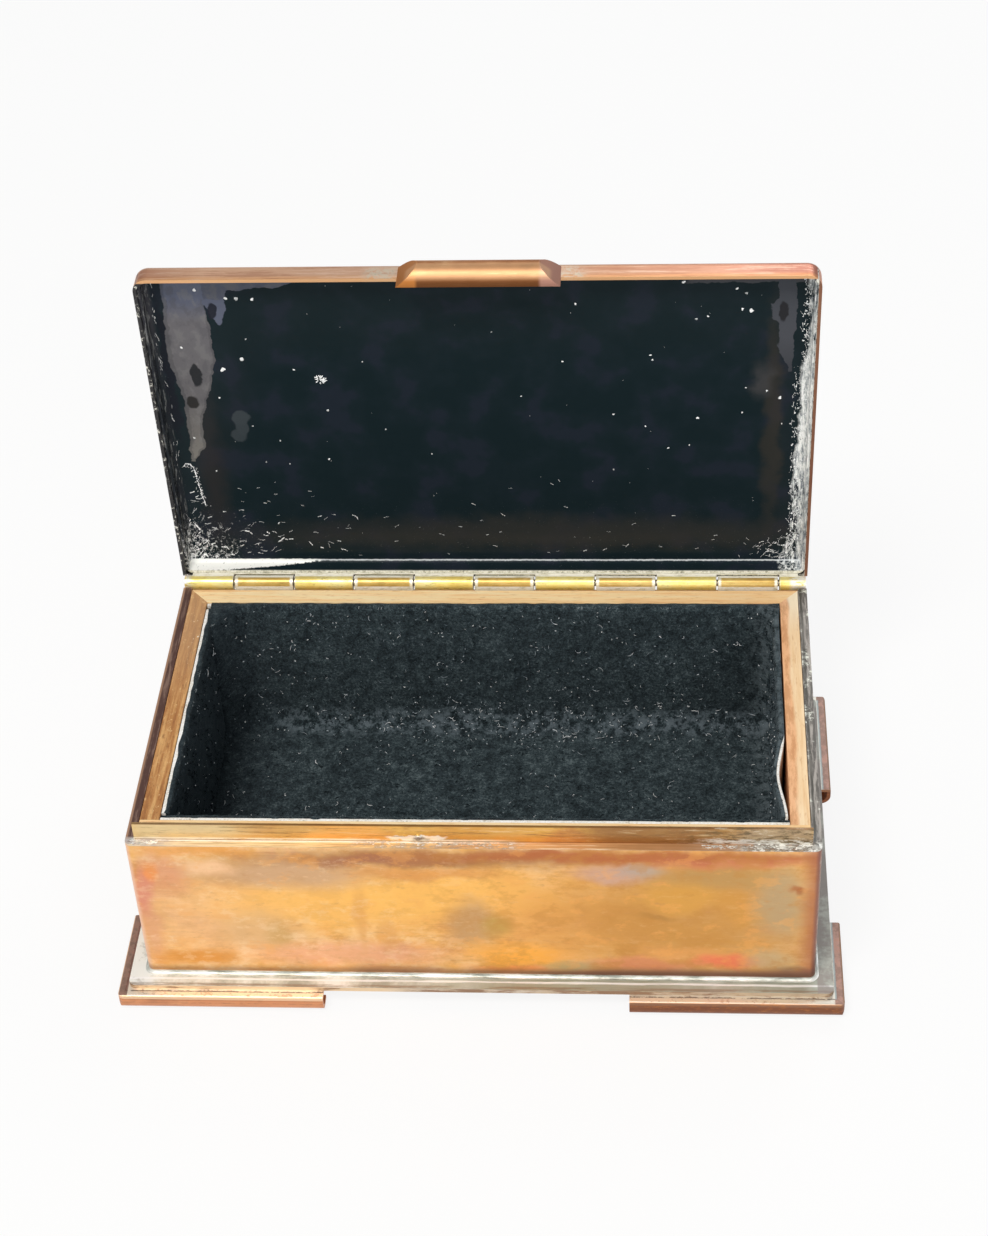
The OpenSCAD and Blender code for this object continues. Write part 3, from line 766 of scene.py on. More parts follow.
# %% Lumpy solder
def solder(name, dark="#9a9c92", middle="#cfd1c8", light="#f4f3ee", size=1.6):
    """Grey metal that set in lumps about size millimetres wide."""
    finish = Finish(name, Metallic=0.55)
    lumps = cloud(finish, size, detail=5, rough=0.65, stretch=(5, 5, 1), shift=2)
    finish.feed(Base_Color=ramp(lumps, (0.36, dark), (0.48, middle), (0.6, light)),
                Roughness=0.28 + 0.3 * lumps)
    bumps(finish, lumps, 0.3, 0.8)
    return finish


solder("base_solder_grey").dress("base_solder")

# %% [markdown]
# ## Bare cedar
#
# Only the upper edges of the boards show. Cedar has straight grain, so the noise is drawn out
# along each board, with short dark pores in it. The left board is browner, and the right one has
# an orange band along its inner half.

# %% Cedar boards
def cedar(name, grain, stops, pore, shift=0.0):
    """grain is 0 where the board lies along X and 1 where it lies along Y."""
    finish = Finish(name, Specular_IOR_Level=0.3)
    drawn = [1, 1, 1]
    drawn[grain] = 16
    rings = cloud(finish, 1.3, detail=5, rough=0.65, stretch=drawn, shift=shift)
    drawn[grain] = 7
    pores = cloud(finish, 0.45, detail=3, rough=0.6, stretch=drawn, shift=shift + 4)
    patches = cloud(finish, 11, detail=3, stretch=drawn, shift=shift + 2)
    finish.colour = layers(
        ramp(rings * 0.7 + patches * 0.3, *stops),
        (fade(pores, 0.56, 0.7) * 0.4, pore))
    finish.feed(Base_Color=finish.colour, Roughness=0.55 + 0.2 * rings)
    bumps(finish, pores, 0.12, 0.6)
    return finish


long = cedar("cedar_long", 0, [(0.32, "#eeb27c"), (0.45, "#ffd9a0"), (0.6, "#ffe9bc")],
             "#c08850", 1.0)
long.feed(Base_Color=blend(edge(long.x, 20, 66) * 0.35, long.colour, "#e8b47c"))
long.dress("wood_back", "wood_front", "wood_floor")

brown = cedar("cedar_left", 1, [(0.34, "#8f5c38"), (0.46, "#b47c49"), (0.6, "#dcab70")],
              "#6f4426", 3.0)
flecks = cloud(brown, 0.9, detail=5, rough=0.8, stretch=(1, 2, 1), shift=4)
paint_dots = fade(flecks, 0.64, 0.67) * band(brown.y, 14, 32, 4)
colour = layers(
    brown.colour,
    (fade(flecks, 0.58, 0.64) * 0.7, "#f0cd94"),
    (fade(flecks, 0.42, 0.35) * 0.5, "#7c4c2c"),
    (edge(brown.y, -5, 28) * 0.35, "#dcb68c"))
brown.feed(Base_Color=blend(paint_dots, colour, "#f6efe6"))
brown.dress("wood_left")

right = cedar("cedar_right", 1, [(0.32, "#e0b184"), (0.45, "#f0cb9c"), (0.6, "#fadeb6")],
              "#c88f5c", 6.0)
wave = cloud(right, 11, detail=4, stretch=(1, 2, 1), shift=1)
slant = cloud(right, 1.2, detail=5, rough=0.7, stretch=(1, 5, 1), shift=2)
inner_half = edge(right.x + wave * 3.2 * MM, 72.9, 71.9)
worn = blend(fade(slant, 0.42, 0.58), "#cf9060", "#efb484")
# The right board is painted lighter towards the back, by the hinge, as painted light.
colour = blend(edge(right.y, 24, 40) * 0.7, right.colour, "#fff3d8")
right.feed(Base_Color=blend(inner_half * 0.85, colour, worn))
right.dress("wood_right")

# %% [markdown]
# ## Card
#
# The velvet is glued on white card, whose cut edges show as a thin pale line round the lining.
# Fine noise gives its fibres, and broader noise a little dirt.

# %% Card
card = Finish("white_card", Specular_IOR_Level=0.2)
fibres = cloud(card, 0.5, detail=5, rough=0.7, shift=3)
dirt = cloud(card, 6, detail=4, rough=0.6, shift=7)
card.feed(Base_Color=ramp(0.6 * fibres + 0.4 * dirt, (0.35, "#b9ae9d"), (0.45, "#efebe2"),
                          (0.6, "#ffffff")), Roughness=0.8 + 0.1 * fibres)
bumps(card, fibres, 0.1, 0.6)
card.dress("card_floor", "card_front", "card_back", "card_left", "card_right")

# %% [markdown]
# ## Black lacquer inside the lid
#
# The lacquer is glossy and nearly black. A grey painted reflection lies on it along the left side,
# with a torn outline, and a smaller one at the right. Their outlines are written as how far they
# reach to the left and right at each distance from the hinge.

# %% The lacquer and its soft shades
lacquer = Finish("black_lacquer", Specular_IOR_Level=0.05)
shaken = stirred(lacquer, 2.6, 2.0)
shaken_x = lacquer.axis(shaken, 0)
shaken_run = lid_numbers(lacquer, shaken)[0]
run, rise = lid_numbers(lacquer)


def painted_reflection_area(left, right, low, high):
    """1 inside a painted reflection's outline: left and right edge at each run, low and high end.
    """
    inside = edge(shaken_x - outline(shaken_run, *left), 0, 0.25)
    inside = inside * edge(outline(shaken_run, *right) - shaken_x, 0, 0.25)
    return inside * band(shaken_run, low, high, 0.1)


murk = cloud(lacquer, 10, detail=3, rough=0.5, shift=2)
colour = ramp(murk, (0.42, "#182428"), (0.54, "#1b262b"), (0.62, "#212831"))
around = stirred(lacquer, 6, 6)
SHADES = [
    # what, centre (x, run), reach (x, run), shade, strength, softness
    ("brown band by the hinge", (12.7, 12), (64, 4.6), "#323230", 0.8, 0.6),
    ("brown by the left wall", (-65.6, 33.4), (3, 22), "#302d2d", 0.6, 0.8),
    ("brown by the right wall", (66.4, 45.6), (1.8, 30), "#37342f", 0.65, 0.6),
    ("brown glow on the right", (63.6, 57.8), (2.2, 4.5), "#4a4849", 0.6, 0.7),
    ("dark side by the left wall", (-72.2, 61.9), (1.4, 20), "#1b1e26", 0.9, 0.3),
]
colour = spots(lacquer, around, colour, on_lid, 12, SHADES)
print(len(SHADES), "soft shades on the lacquer")

# %% The painted reflections' outlines and colours
left_reflection = painted_reflection_area([(34.4, -70.5), (47.9, -69.7), (53.9, -69.9), (64.2, -71.6), (73.9, -71.2),
                  (87.4, -70.7)],
                 [(34.4, -69.3), (39.2, -66.3), (46.1, -66.2), (50.3, -64.6), (57.5, -62.6),
                  (65.1, -60.6), (73.8, -61), (79.8, -61.5), (80.4, -57.1), (84.1, -55.9),
                  (84.7, -44), (87, -39.5)],
                 34.4, 87.4)
reflection_tail = painted_reflection_area([(74.5, -59.2), (77.2, -60.3), (80.7, -61.9)],
            [(74.5, -58.2), (77.2, -57.2), (80.7, -56.7)], 74.5, 81.8)
reflection_colour = ramp(shaken_run / MM / 90, (0.37, "#7f7c76"), (0.48, "#6e6b68"), (0.59, "#636163"),
                   (0.84, "#676569"), (0.91, "#5c6173"), (0.99, "#646977"))
reflection_mottle = cloud(lacquer, 3.4, detail=4, rough=0.6, stretch=(0.8, 1, 1.2), shift=16)
reflection_colour = layers(
    reflection_colour,
    (fade(reflection_mottle, 0.5, 0.62) * 0.4, "#7a7979"),
    (fade(reflection_mottle, 0.47, 0.36) * 0.4, "#535357"))
reflection_inside = painted_reflection_area([(34.4, -69.9), (47.9, -68.9), (53.9, -69.1), (64.2, -70.7), (87.4, -69.9)],
                [(34.4, -69.7), (39.2, -66.9), (46.1, -66.8), (50.3, -65.2), (57.5, -63.2),
                 (65.1, -61.2), (73.8, -61.6), (87, -61.4)], 35.4, 87)
right_reflection = painted_reflection_area([(59.9, 69.6), (61.9, 69.2), (66, 67.1), (74.1, 67), (75.1, 66), (79.2, 65),
                  (80.7, 66.8), (86.4, 66.6)],
                  [(59.9, 70.4), (61.9, 70.5), (74.1, 70.8), (78.2, 71.2), (86.4, 70.8)],
                  60.4, 85.9)
right_reflection_colour = ramp(shaken_run / MM / 90, (0.66, "#3c3e43"), (0.78, "#4a4c52"),
                    (0.95, "#44474d"))
top_band = band(shaken_run, 85.3, 87.6, 0.2) * edge(shaken_x, 45, 48)
colour = layers(
    colour,
    (left_reflection, reflection_colour),
    ((left_reflection - reflection_inside) * 0.35, "#3c3d40"),
    (reflection_tail, "#5a5f70"),
    (top_band * 0.9, "#4a4a4e"),
    (right_reflection, right_reflection_colour))

# %% Holes and a patch in the painted reflections
HOLES = [
    ("left hole", (-65.8, 60.2), (1.2, 3.2), "#26282b", 0.95, 0.12),
    ("lower left hole", (-67.6, 52.3), (1.6, 1.8), "#2b2a29", 0.95, 0.15),
    ("upper left hole", (-59.8, 78.4), (1.1, 2.2), "#22242d", 0.95, 0.12),
    ("right hole", (67.9, 77.4), (1.1, 2.6), "#28282b", 0.95, 0.15),
    ("patch", (-57.0, 47.6), (2.1, 2.2), "#3c4347", 0.9, 0.15),
    ("patch's middle", (-57.0, 44.8), (1.6, 2.4), "#3a4145", 0.9, 0.2),
    ("patch's tail", (-57.9, 42.2), (1.7, 2), "#383f43", 0.9, 0.2),
]
colour = spots(lacquer, shaken, colour, on_lid, 12, HOLES)
print(len(HOLES), "holes and patches in the films")

# %% Dried polish along the lacquer's edges
chalk = cloud(lacquer, 0.9, detail=6, rough=0.8, stretch=(1, 1, 1.5), shift=4)
specks = cloud(lacquer, 0.35, detail=3, rough=0.8, shift=4)
near_walls = edge(run, 30, 4) * 0.5 + edge(lacquer.x, -71, -75)
right_edge = outline(run, (0, 68.5), (5, 69.2), (12, 71.2), (28.6, 71.2), (50, 72.2),
                     (61.6, 72), (66, 73.4), (81, 73.6), (88, 72.6))
right_edge = edge(shaken_x - right_edge, 0, 0.9)
streaky = cloud(lacquer, 1.2, detail=6, rough=0.8, stretch=(0.6, 1, 3), shift=14)
middle = band(run, 30, 60, 6)
thick = chalk * 0.4 + streaky * 0.6 + 0.07 * edge(lacquer.x, 72.6, 73.6)
thick = thick + 0.1 * middle - 0.03 * edge(run, 58, 68)
crust = ramp(streaky + 0.06 * middle, (0.44, "#868c92"), (0.52, "#c6cac9"), (0.6, "#fdfdfa"))
left_edge = edge(lacquer.x, -72.8, -74.2)
veins = cloud(lacquer, 1.6, detail=5, rough=0.75, stretch=(0.5, 1, 4), shift=11)
corner = edge(run, 26, 4) * edge(lacquer.x, -50, -74)
broken = fade(cloud(lacquer, 9, stretch=(3, 1, 1), shift=1), 0.4, 0.5)
thin_line = band(run + chalk * 0.6 * MM, 3.2, 3.55, 0.12) * broken
wedge = outline(shaken_x, (-76, 1.2), (-66, 1.6), (-56, 2.8), (-48, 3.9), (-40, 5.2))
wedge = edge(rise + chalk * 2.4 * MM - 1.2 * MM - wedge, 0, 0.3)
wedge = wedge * edge(run + chalk * 1.2 * MM, 4.1, 3.8)
wedge = wedge * edge(shaken_x, -39, -41)
rim_paint = edge(run, 2.75, 2.55) * edge(rise, 1.9, 1.5)
rim_colour = ramp(chalk, (0.36, "#9a9684"), (0.46, "#d6d2be"), (0.58, "#f3f0e2"))
colour = layers(
    colour,
    (fade(specks, 0.66, 0.74) * near_walls * 0.7, "#d0d2d0"),
    (right_edge * fade(thick, 0.48, 0.52), crust),
    (left_edge * (0.35 + 0.4 * edge(run, 56, 80)), "#47464b"),
    (left_edge * fade(veins, 0.54, 0.6) * 0.55, "#a9aaa8"),
    (fade(chalk + 0.14 * corner, 0.64, 0.69) * corner, "#f2f3f2"),
    (thin_line * 0.85, "#eef1f2"),
    (wedge * fade(chalk, 0.34, 0.4), "#fbfbf6"),
    (rim_paint, rim_colour))
dull = left_reflection + right_reflection + rim_paint
lacquer.feed(Base_Color=colour, Roughness=0.16 + 0.3 * dull)
bumps(lacquer, cloud(lacquer, 5, detail=2, shift=7), 0.12, 0.3)
lacquer.dress("lid_lacquer")

# %% [markdown]
# ## White crumbs on the lacquer
#
# Polish has dried to white crumbs: a flower-shaped one left of the middle, a crust along the right
# edge, and dashes near the hinge. Each crumb is a small uneven stone of twenty faces, and all of
# them are joined into one mesh that rides on the lid.

# %% Stones of twenty faces
FLATNESS = 0.22
chance = random.Random(7)
bpy.ops.object.select_all(action="DESELECT")
bpy.ops.mesh.primitive_ico_sphere_add(subdivisions=1, radius=1)
pattern = bpy.context.object
STONE = [vertex.co.copy() for vertex in pattern.data.vertices]
STONE_FACES = [tuple(face.vertices) for face in pattern.data.polygons]
bpy.ops.object.delete()


def mesh_piece(name, corners, faces, body):
    """A new piece of these corners and faces that rides on a body."""
    mesh = bpy.data.meshes.new(name)
    mesh.from_pydata(corners, [], faces)
    piece = bpy.data.objects.new(name, mesh)
    bpy.context.scene.collection.objects.link(piece)
    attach(piece, body)
    print(name, len(faces), "faces")


def stones(name, places, put, body):
    """One mesh of many stones. places are (x, run, length, width, turn) and put(x, run, up)
    turns two lengths along a surface and a height over it into a point."""
    corners, faces = [], []
    for x, run, length, width, turn in places:
        start = len(corners)
        for corner in STONE:
            a, b = corner.x * length / 2, corner.y * width / 2
            grow = chance.uniform(0.75, 1.2)
            a, b = a * grow, b * grow
            corners.append(put(x + a * math.cos(turn) - b * math.sin(turn),
                               run + a * math.sin(turn) + b * math.cos(turn),
                               corner.z * width * FLATNESS) * MM)
        faces += [tuple(start + i for i in face) for face in STONE_FACES]
    mesh_piece(name, corners, faces, body)

# %% Where the crumbs lie
SPECKS = [
    # x, run, width
    (-36.2, 49.8, 0.45), (-63.2, 84.3, 0.5), (-54, 81.9, 0.7), (-56.4, 81.9, 0.5),
    (-50.5, 81.5, 0.6), (-53.1, 70.5, 0.25), (-54.6, 64.8, 0.7), (-59.4, 61.9, 0.75),
    (-43, 61.8, 0.4), (-68.1, 68.2, 0.4), (-61.2, 53.6, 0.3), (-54.4, 45.2, 0.25),
    (-68.6, 41.7, 0.35), (-48.3, 40.7, 0.25), (-52.4, 34.2, 0.25), (-46.8, 33.7, 0.25),
    (-64.6, 31.5, 0.3), (-37.4, 35, 0.4), (45.9, 85.4, 0.55), (57.6, 83.6, 0.4),
    (59.7, 82.3, 0.45), (59, 78, 0.4), (61, 77.7, 0.75), (48.8, 75.5, 0.4), (51.3, 76.1, 0.35),
    (22, 79.7, 0.4), (38.5, 65.4, 0.4), (38.9, 64.1, 0.3), (18.6, 63.6, 0.35), (64.9, 55, 0.35),
    (67.9, 53, 0.5), (60.1, 56, 0.25), (59.4, 48.7, 0.25), (49.3, 47.1, 0.45), (29.9, 48.3, 0.3),
    (37.3, 44.7, 0.3), (68.5, 45.4, 0.25), (70.5, 45.4, 0.25), (47.4, 39.1, 0.25),
    (42.5, 38.2, 0.3), (29.7, 31.7, 0.25), (-12.9, 36.6, 0.22), (-23.2, 44.1, 0.25),
    (2.8, 72.1, 0.25), (-27.1, 63.9, 0.22), (8.8, 53.7, 0.22)]
FLOWER_X, FLOWER_RUN = -37.2, 58.8
crumbs = []
for x, run, width in SPECKS:
    for n in range(4):
        crumbs.append((x + chance.uniform(-0.4, 0.4) * width,
                       run + chance.uniform(-0.4, 0.4) * width,
                       width * chance.uniform(1.0, 1.6), width, chance.uniform(0, 3)))
for n in range(44):
    turn, away = chance.uniform(0, 6.3), 1.25 * math.sqrt(chance.random())
    crumbs.append((FLOWER_X + 1.15 * away * math.cos(turn),
                   FLOWER_RUN + 0.85 * away * math.sin(turn),
                   chance.uniform(0.4, 0.8), 0.3, turn))
print(len(crumbs), "crumbs in specks and in the flower")

# %% Rows of crumbs
STEP = 0.4
UP_THE_LID = 1.57  # a direction in radians, away from the hinge


def stroke(x, run, length, way, bend, width):
    """A row of crumbs along a curved line, as a fingernail or brush would leave them."""
    for part in range(max(2, round(length / STEP))):
        crumbs.append((x + chance.gauss(0, 0.06), run + chance.gauss(0, 0.06),
                       chance.uniform(0.4, 0.7), width * chance.uniform(0.6, 1.2), way))
        x, run, way = x + STEP * math.cos(way), run + STEP * math.sin(way), way + bend / 4


ARC = [(-72.3, 33.0), (-71.6, 33.9), (-70.6, 33.5), (-69.9, 32), (-69.6, 28.7), (-69.1, 24.2),
       (-68.5, 20.4)]
for (x, run), (next_x, next_run) in zip(ARC, ARC[1:]):
    away, way = math.hypot(next_x - x, next_run - run), math.atan2(next_run - run, next_x - x)
    stroke(x, run, away, way, 0, 0.3)
    for n in range(round(away * 5)):
        share = chance.random()
        crumbs.append((x + share * (next_x - x) + chance.gauss(0, 0.55),
                       run + share * (next_run - run) - 0.3, chance.uniform(0.2, 0.6), 0.15,
                       chance.uniform(0, 3)))
print(len(crumbs), "crumbs with the arc at the left")

# %% The crust along the right edge
for n in range(760):
    run = chance.uniform(3.5, 87)
    reach = 3.6 if run < 62 else 2.0
    x = 74.3 - reach * chance.random() ** 1.4
    if n % 5 == 0:
        stroke(x, run, chance.uniform(0.6, 1.6), UP_THE_LID + chance.gauss(0, 0.25),
               chance.gauss(0, 0.3), chance.uniform(0.07, 0.14))
    else:
        size = chance.choice([0.1, 0.15, 0.22, 0.35])
        crumbs.append((x, run, size * chance.uniform(1, 1.8), size,
                       UP_THE_LID + chance.gauss(0, 0.5)))
print(len(crumbs), "crumbs with the crust")

# %% Dashes near the hinge and along the left wall
SCRAPED = [
    # how many, x, side, spread, run, spread, longest, way, its spread, bend, widths
    (60, 71, -1, 4.5, 3.8, 3.5, 2.2, 0.2, 0.6, 0.6, (0.07, 0.1, 0.26)),
    (60, -73.4, 1, 1.6, 4, 9, 1.8, 1.2, 0.8, 0.7, (0.07, 0.1, 0.14, 0.3)),
    (64, -70, 1, 15, 4.5, 7.5, 2.0, 0.1, 0.5, 0.6, (0.08, 0.12, 0.2, 0.36)),
]
for count, x, side, x_spread, run, run_spread, longest, way, turning, bend, widths in SCRAPED:
    for n in range(count):
        stroke(x + side * abs(chance.gauss(0, x_spread)), run + abs(chance.gauss(0, run_spread)),
               chance.uniform(0.3, longest), chance.gauss(way, turning), chance.gauss(0, bend),
               chance.choice(widths))
for n in range(46):
    stroke(chance.uniform(-60, 68), 4.5 + 24 * chance.random() ** 1.4, chance.uniform(0.2, 1.2),
           chance.gauss(0, 0.4), chance.gauss(0, 0.5), chance.uniform(0.08, 0.18))
for n in range(40):
    x, run = chance.uniform(-62, 66), chance.uniform(8, 86)
    crumbs.append((x, run, chance.uniform(0.1, 0.25), 0.12, chance.uniform(0, 3)))
for n in range(34):
    run = chance.choice([chance.uniform(60, 87), chance.uniform(4, 87)])
    stroke(-74.3 + 1.6 * chance.random() ** 1.5, run, chance.uniform(0.4, 2.6),
           UP_THE_LID + chance.gauss(0, 0.25), chance.gauss(0, 0.2),
           chance.uniform(0.06, 0.15))
stones("polish_crumbs", crumbs, lambda x, run, up: on_lid(x, run, PAINT_RISE - up), "lid")
polish = Finish("dried_polish", Roughness=0.7)
polish.feed(Base_Color=ramp(cloud(polish, 1.5, detail=4), (0.36, "#a9acac"), (0.46, "#e4e6e6"),
                            (0.56, "#ffffff")))
polish.dress("polish_crumbs")

# %% [markdown]
# ## Solder on the front rim
#
# Solder that ran out under the strip set as small lumps on the rim: at both corners and beside
# the nub. They stand up from the sheet, so they are stones again, longer along the rim.

# %% Lumps of solder on the front rim
RIM_Z, RIM_FRONT, STRIP_FACE = 47.0, -45.2, -43.45
lumps = []
for start, end, count in ((-74.6, -68.5, 60), (-22, 9, 46), (50, 74.8, 190)):
    for n in range(count):
        x = chance.uniform(start, end)
        y = STRIP_FACE - abs(chance.gauss(0, 0.55))
        if y > RIM_FRONT:
            width = chance.uniform(0.12, 0.4)
            lumps.append((x, y, width * chance.uniform(1.2, 4), width, chance.gauss(0, 0.25)))
for x in (-74.3, -73.9, 74.1, 74.5):
    lumps.append((x, -43.2, 1.3, 1.1, chance.uniform(0, 3)))
stones("rim_solder", lumps, lambda x, y, up: Vector((x, y, RIM_Z + up)), "tray")
solder("rim_solder_grey", "#7f7b74", "#c9c6bf", "#fbfaf6", 0.8).dress("rim_solder")
print(len(lumps), "lumps")

# %% [markdown]
# ## Velvet lining
#
# Five cards covered with black velvet line the box. The velvet is cloth, so each piece is a
# sheet: a fine grid is laid on the card's face, made slightly uneven, given its frayed upper
# edge and then a thickness. Up the four walls the velvet also folds a little over the card's
# top. The right-hand card stands off its board in a wave near the front. The CAD model makes the
# wave 2.6 mm deep, and the photograph shows a calmer one, so this card is made again too.

# %% Sizes of the lining in millimetres
CAVITY_X, PANEL = 69.0, 2.1
BACK_FACE, FRONT_FACE = 35.35, -34.85
LINED_Z, CARD_TOP = 9.6, 46.7
CARD = 0.9
WARP_START, WARP_IN, WARP_LENGTH = -34.7, 1.5, 27.0  # the wave's start, depth and length
WIDE, DEEP, HIGH = 2 * CAVITY_X, 69.9, CARD_TOP - LINED_Z
PILE, CLOTH, BOARD = 0.75, 0.7, 0.6  # the velvet's face over its card, and two thicknesses
BACK_FOLD, TUCK, ON_TOP = 1.75, 0.7, 0.16
print("the lining is", WIDE, "x", DEEP, "mm and", round(HIGH, 1), "high")

# %% A sheet on a card's face
def warp(y):
    """How far the right-hand card stands off its board."""
    along = y - WARP_START
    if along < 0 or along > WARP_LENGTH:
        return 0
    return WARP_IN * math.sin(math.pi * along / WARP_LENGTH) ** 2


def uneven(x, y, z, size, seed):
    """A smooth random number between -1 and 1 for a place in millimetres."""
    return noise.noise(Vector((x / size + seed, y / size, z / size - seed)))


def grid_piece(name, across, up, place, fold=0, tuck=0):
    """A sheet of across by up millimetres. place turns (s, t, d) into a point: s runs along
    the sheet, t up it, and d is the height over the card. fold more millimetres lie on top,
    and tuck more are pushed down behind the floor's velvet."""
    high = up + fold + tuck
    bpy.ops.object.select_all(action="DESELECT")
    bpy.ops.mesh.primitive_grid_add(x_subdivisions=round(across), y_subdivisions=round(high),
                                    size=2)
    piece = bpy.context.object
    piece.name = name
    for vertex in piece.data.vertices:
        s = (vertex.co.x + 1) / 2 * across
        t = (vertex.co.y + 1) / 2 * high - tuck
        inward = min(s, across - s, 3.0) / 3.0
        swell = 0.12 * inward + 0.10 * uneven(s, t, 0, 7, 3) + 0.05 * uneven(s, t, 0, 2, 8)
        vertex.co = Vector(place(s, t, PILE + swell)) * MM
    return piece


def thicken(piece, depth):
    """Gives a sheet its thickness away from the box's inside and closes its edges."""
    solid = piece.modifiers.new("cloth", "SOLIDIFY")
    solid.thickness, solid.offset = depth * MM, -1
    bpy.context.view_layer.objects.active = piece
    piece.select_set(True)
    bpy.ops.object.modifier_apply(modifier="cloth")
    bpy.ops.object.shade_smooth()
    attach(piece, "tray")


# %% How each sheet lies in the box
def cove(away, reach=5.0, lift=2.4):
    """How far a sheet rounds off in a corner, at this distance from its neighbour."""
    return lift * max(0.0, 1 - max(0.0, away) / reach) ** 2


def upward(s, t, seed):
    """How high a sheet is at t, with the uneven cut of its upper edge."""
    up = min(t, HIGH)
    share = max(0.0, (up - HIGH + 2) / 2)
    frayed = share * (0.16 * uneven(s, 0, 0, 1.1, seed) + 0.22 * uneven(s, 0, 0, 5, seed + 2))
    return LINED_Z + up + frayed + ON_TOP * (t > HIGH)


def on_floor(s, t, d):
    y = FRONT_FACE - PANEL + 0.1 + t
    return -CAVITY_X + s, y, LINED_Z - 0.95 + d + cove(BACK_FACE + 0.3 - y)


def on_front(s, t, d):
    over = max(0, t - HIGH) * (0.7 + 0.8 * uneven(s, 0, 0, 3, 12))
    return CAVITY_X - s, FRONT_FACE - 1.2 + d - over, upward(s, t, 1)


def on_back(s, t, d):
    over = max(0, t - HIGH)
    rounded = cove(s - 1, 9, 7) + cove(WIDE - s - 1.8, 4, 2)
    depth = d - over + (rounded * (1 - over / BACK_FOLD) + cove(t))
    z = CARD_TOP + ON_TOP if over else LINED_Z + t
    return (-CAVITY_X + 1 + s * (WIDE - 1) / WIDE, BACK_FACE + 1.2 - depth,
            z + 0.15 * uneven(s, t, 0, 2.5, 5) * (t > HIGH))


def on_left(s, t, d):
    over = max(0, t - HIGH) * (0.9 + 0.5 * uneven(s, 0, 0, 4, 14))
    return -CAVITY_X + CARD + d - over, WARP_START + s, upward(s, t, 7)


def on_right(s, t, d):
    y = WARP_START + DEEP - s
    over = max(0, t - HIGH) * (1 - 0.45 * min(1, warp(y) + max(0, (-8 - y) / 6)))
    return CAVITY_X - CARD - d - warp(y) + over, y, upward(s, t, 9)


def on_right_card(s, t, d):
    y = WARP_START + DEEP - s
    return CAVITY_X - CARD - warp(y), y, LINED_Z + t


# %% [markdown]
# A sheet's flat size is the card's face, with what folds over its top edge and what is tucked
# behind the floor's velvet.

# %% The bowed card and the five sheets
bowed = grid_piece("bowed_card", DEEP, HIGH, on_right_card)
thicken(bowed, BOARD)
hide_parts("card_right")
card.dress("bowed_card")

velvet_pieces = []
for name, across, up, place, fold, tuck, carrier in [
        ("velvet_cloth_floor", WIDE, 74.4, on_floor, 0, 0, "card_floor"),
        ("velvet_cloth_front", WIDE, HIGH, on_front, 0.9, TUCK, "card_front"),
        ("velvet_cloth_back", WIDE, HIGH, on_back, BACK_FOLD, TUCK, "card_back"),
        ("velvet_cloth_left", DEEP, HIGH, on_left, 1.2, TUCK, "card_left"),
        ("velvet_cloth_right", DEEP, HIGH, on_right, 1.5, TUCK, "bowed_card")]:
    piece = grid_piece(name, across, up, place, fold, tuck)
    thicken(piece, CLOTH)
    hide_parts(name.replace("velvet_cloth", "velvet"))
    across * MM
    (up + fold + tuck) * MM
    velvet_pieces.append(piece.name)
    print(name, round(across, 1), "x", round(up + fold + tuck, 2), "mm")

# %% The pile's finish
velvet = Finish("black_velvet", Roughness=0.95, Specular_IOR_Level=0.1, Sheen_Weight=0.25,
                Sheen_Roughness=0.5, Sheen_Tint=tint("#8fa0a8"))
nap = cloud(velvet, 9, detail=4, rough=0.6, shift=2)
pile = cloud(velvet, 0.6, detail=3, rough=0.9, shift=5)
clumps = cloud(velvet, 2.4, detail=4, rough=0.75, shift=6)
colour = ramp(nap * 0.14 + clumps * 0.36 + pile * 0.5, (0.4, "#151c1f"), (0.47, "#273034"),
              (0.54, "#3e4a4e"), (0.62, "#687477"))
from_fold = larger((BACK_FACE - 0.8) * MM - velvet.y, velvet.z - (LINED_Z + 0.8) * MM)
linty = edge(from_fold, 6, 0) * edge(velvet.x, -62, -48)
dust = fade(cloud(velvet, 0.8, detail=4, rough=0.9, shift=9), 0.64, 0.72)
# The velvet is painted darker towards the left: painted shade on the left wall and the floor
# beside it.
colour = layers(
    colour,
    (edge(velvet.x, -44, -68) * 0.5, "#181e25"),
    (edge(velvet.x, 60, 67) * fade(clumps, 0.4, 0.56) * 0.5, "#6d777c"),
    (linty * fade(clumps, 0.44, 0.6) * 0.7, "#69737a"),
    (dust * 0.6, "#8b969c"))
velvet.feed(Base_Color=colour)
bumps(velvet, pile, 0.4, 1.0)
velvet.dress(*velvet_pieces)

# %% [markdown]
# ## Lint
#
# White and grey lint has gathered on the velvet: short curled fibres, more of them along the
# fold between back and floor. They are thin three-sided tubes, all in one mesh. The same tubes
# then make the tufts of the pile, and the frayed edge where the velvet was cut.

# %% Curled fibres
dice = random.Random(41)


def fibre(points, radius):
    """The corners and faces of a thin three-sided tube through points, in millimetres."""
    corners, faces = [], []
    for i, point in enumerate(points):
        ahead = points[min(i + 1, len(points) - 1)] - points[max(i - 1, 0)]
        side = ahead.cross(Vector((0.3, 0.5, 0.8))).normalized()
        other = ahead.cross(side).normalized()
        thin = radius * (0.5 if i in (0, len(points) - 1) else 1)
        for k in range(3):
            a = 2 * math.pi * k / 3
            corners.append((point + thin * (math.cos(a) * side + math.sin(a) * other)) * MM)
    for i in range(len(points) - 1):
        for k in range(3):
            a, b = 3 * i + k, 3 * i + (k + 1) % 3
            faces.append((a, b, b + 3, a + 3))
    last = 3 * (len(points) - 1)
    return corners, faces + [(2, 1, 0), (last, last + 1, last + 2)]


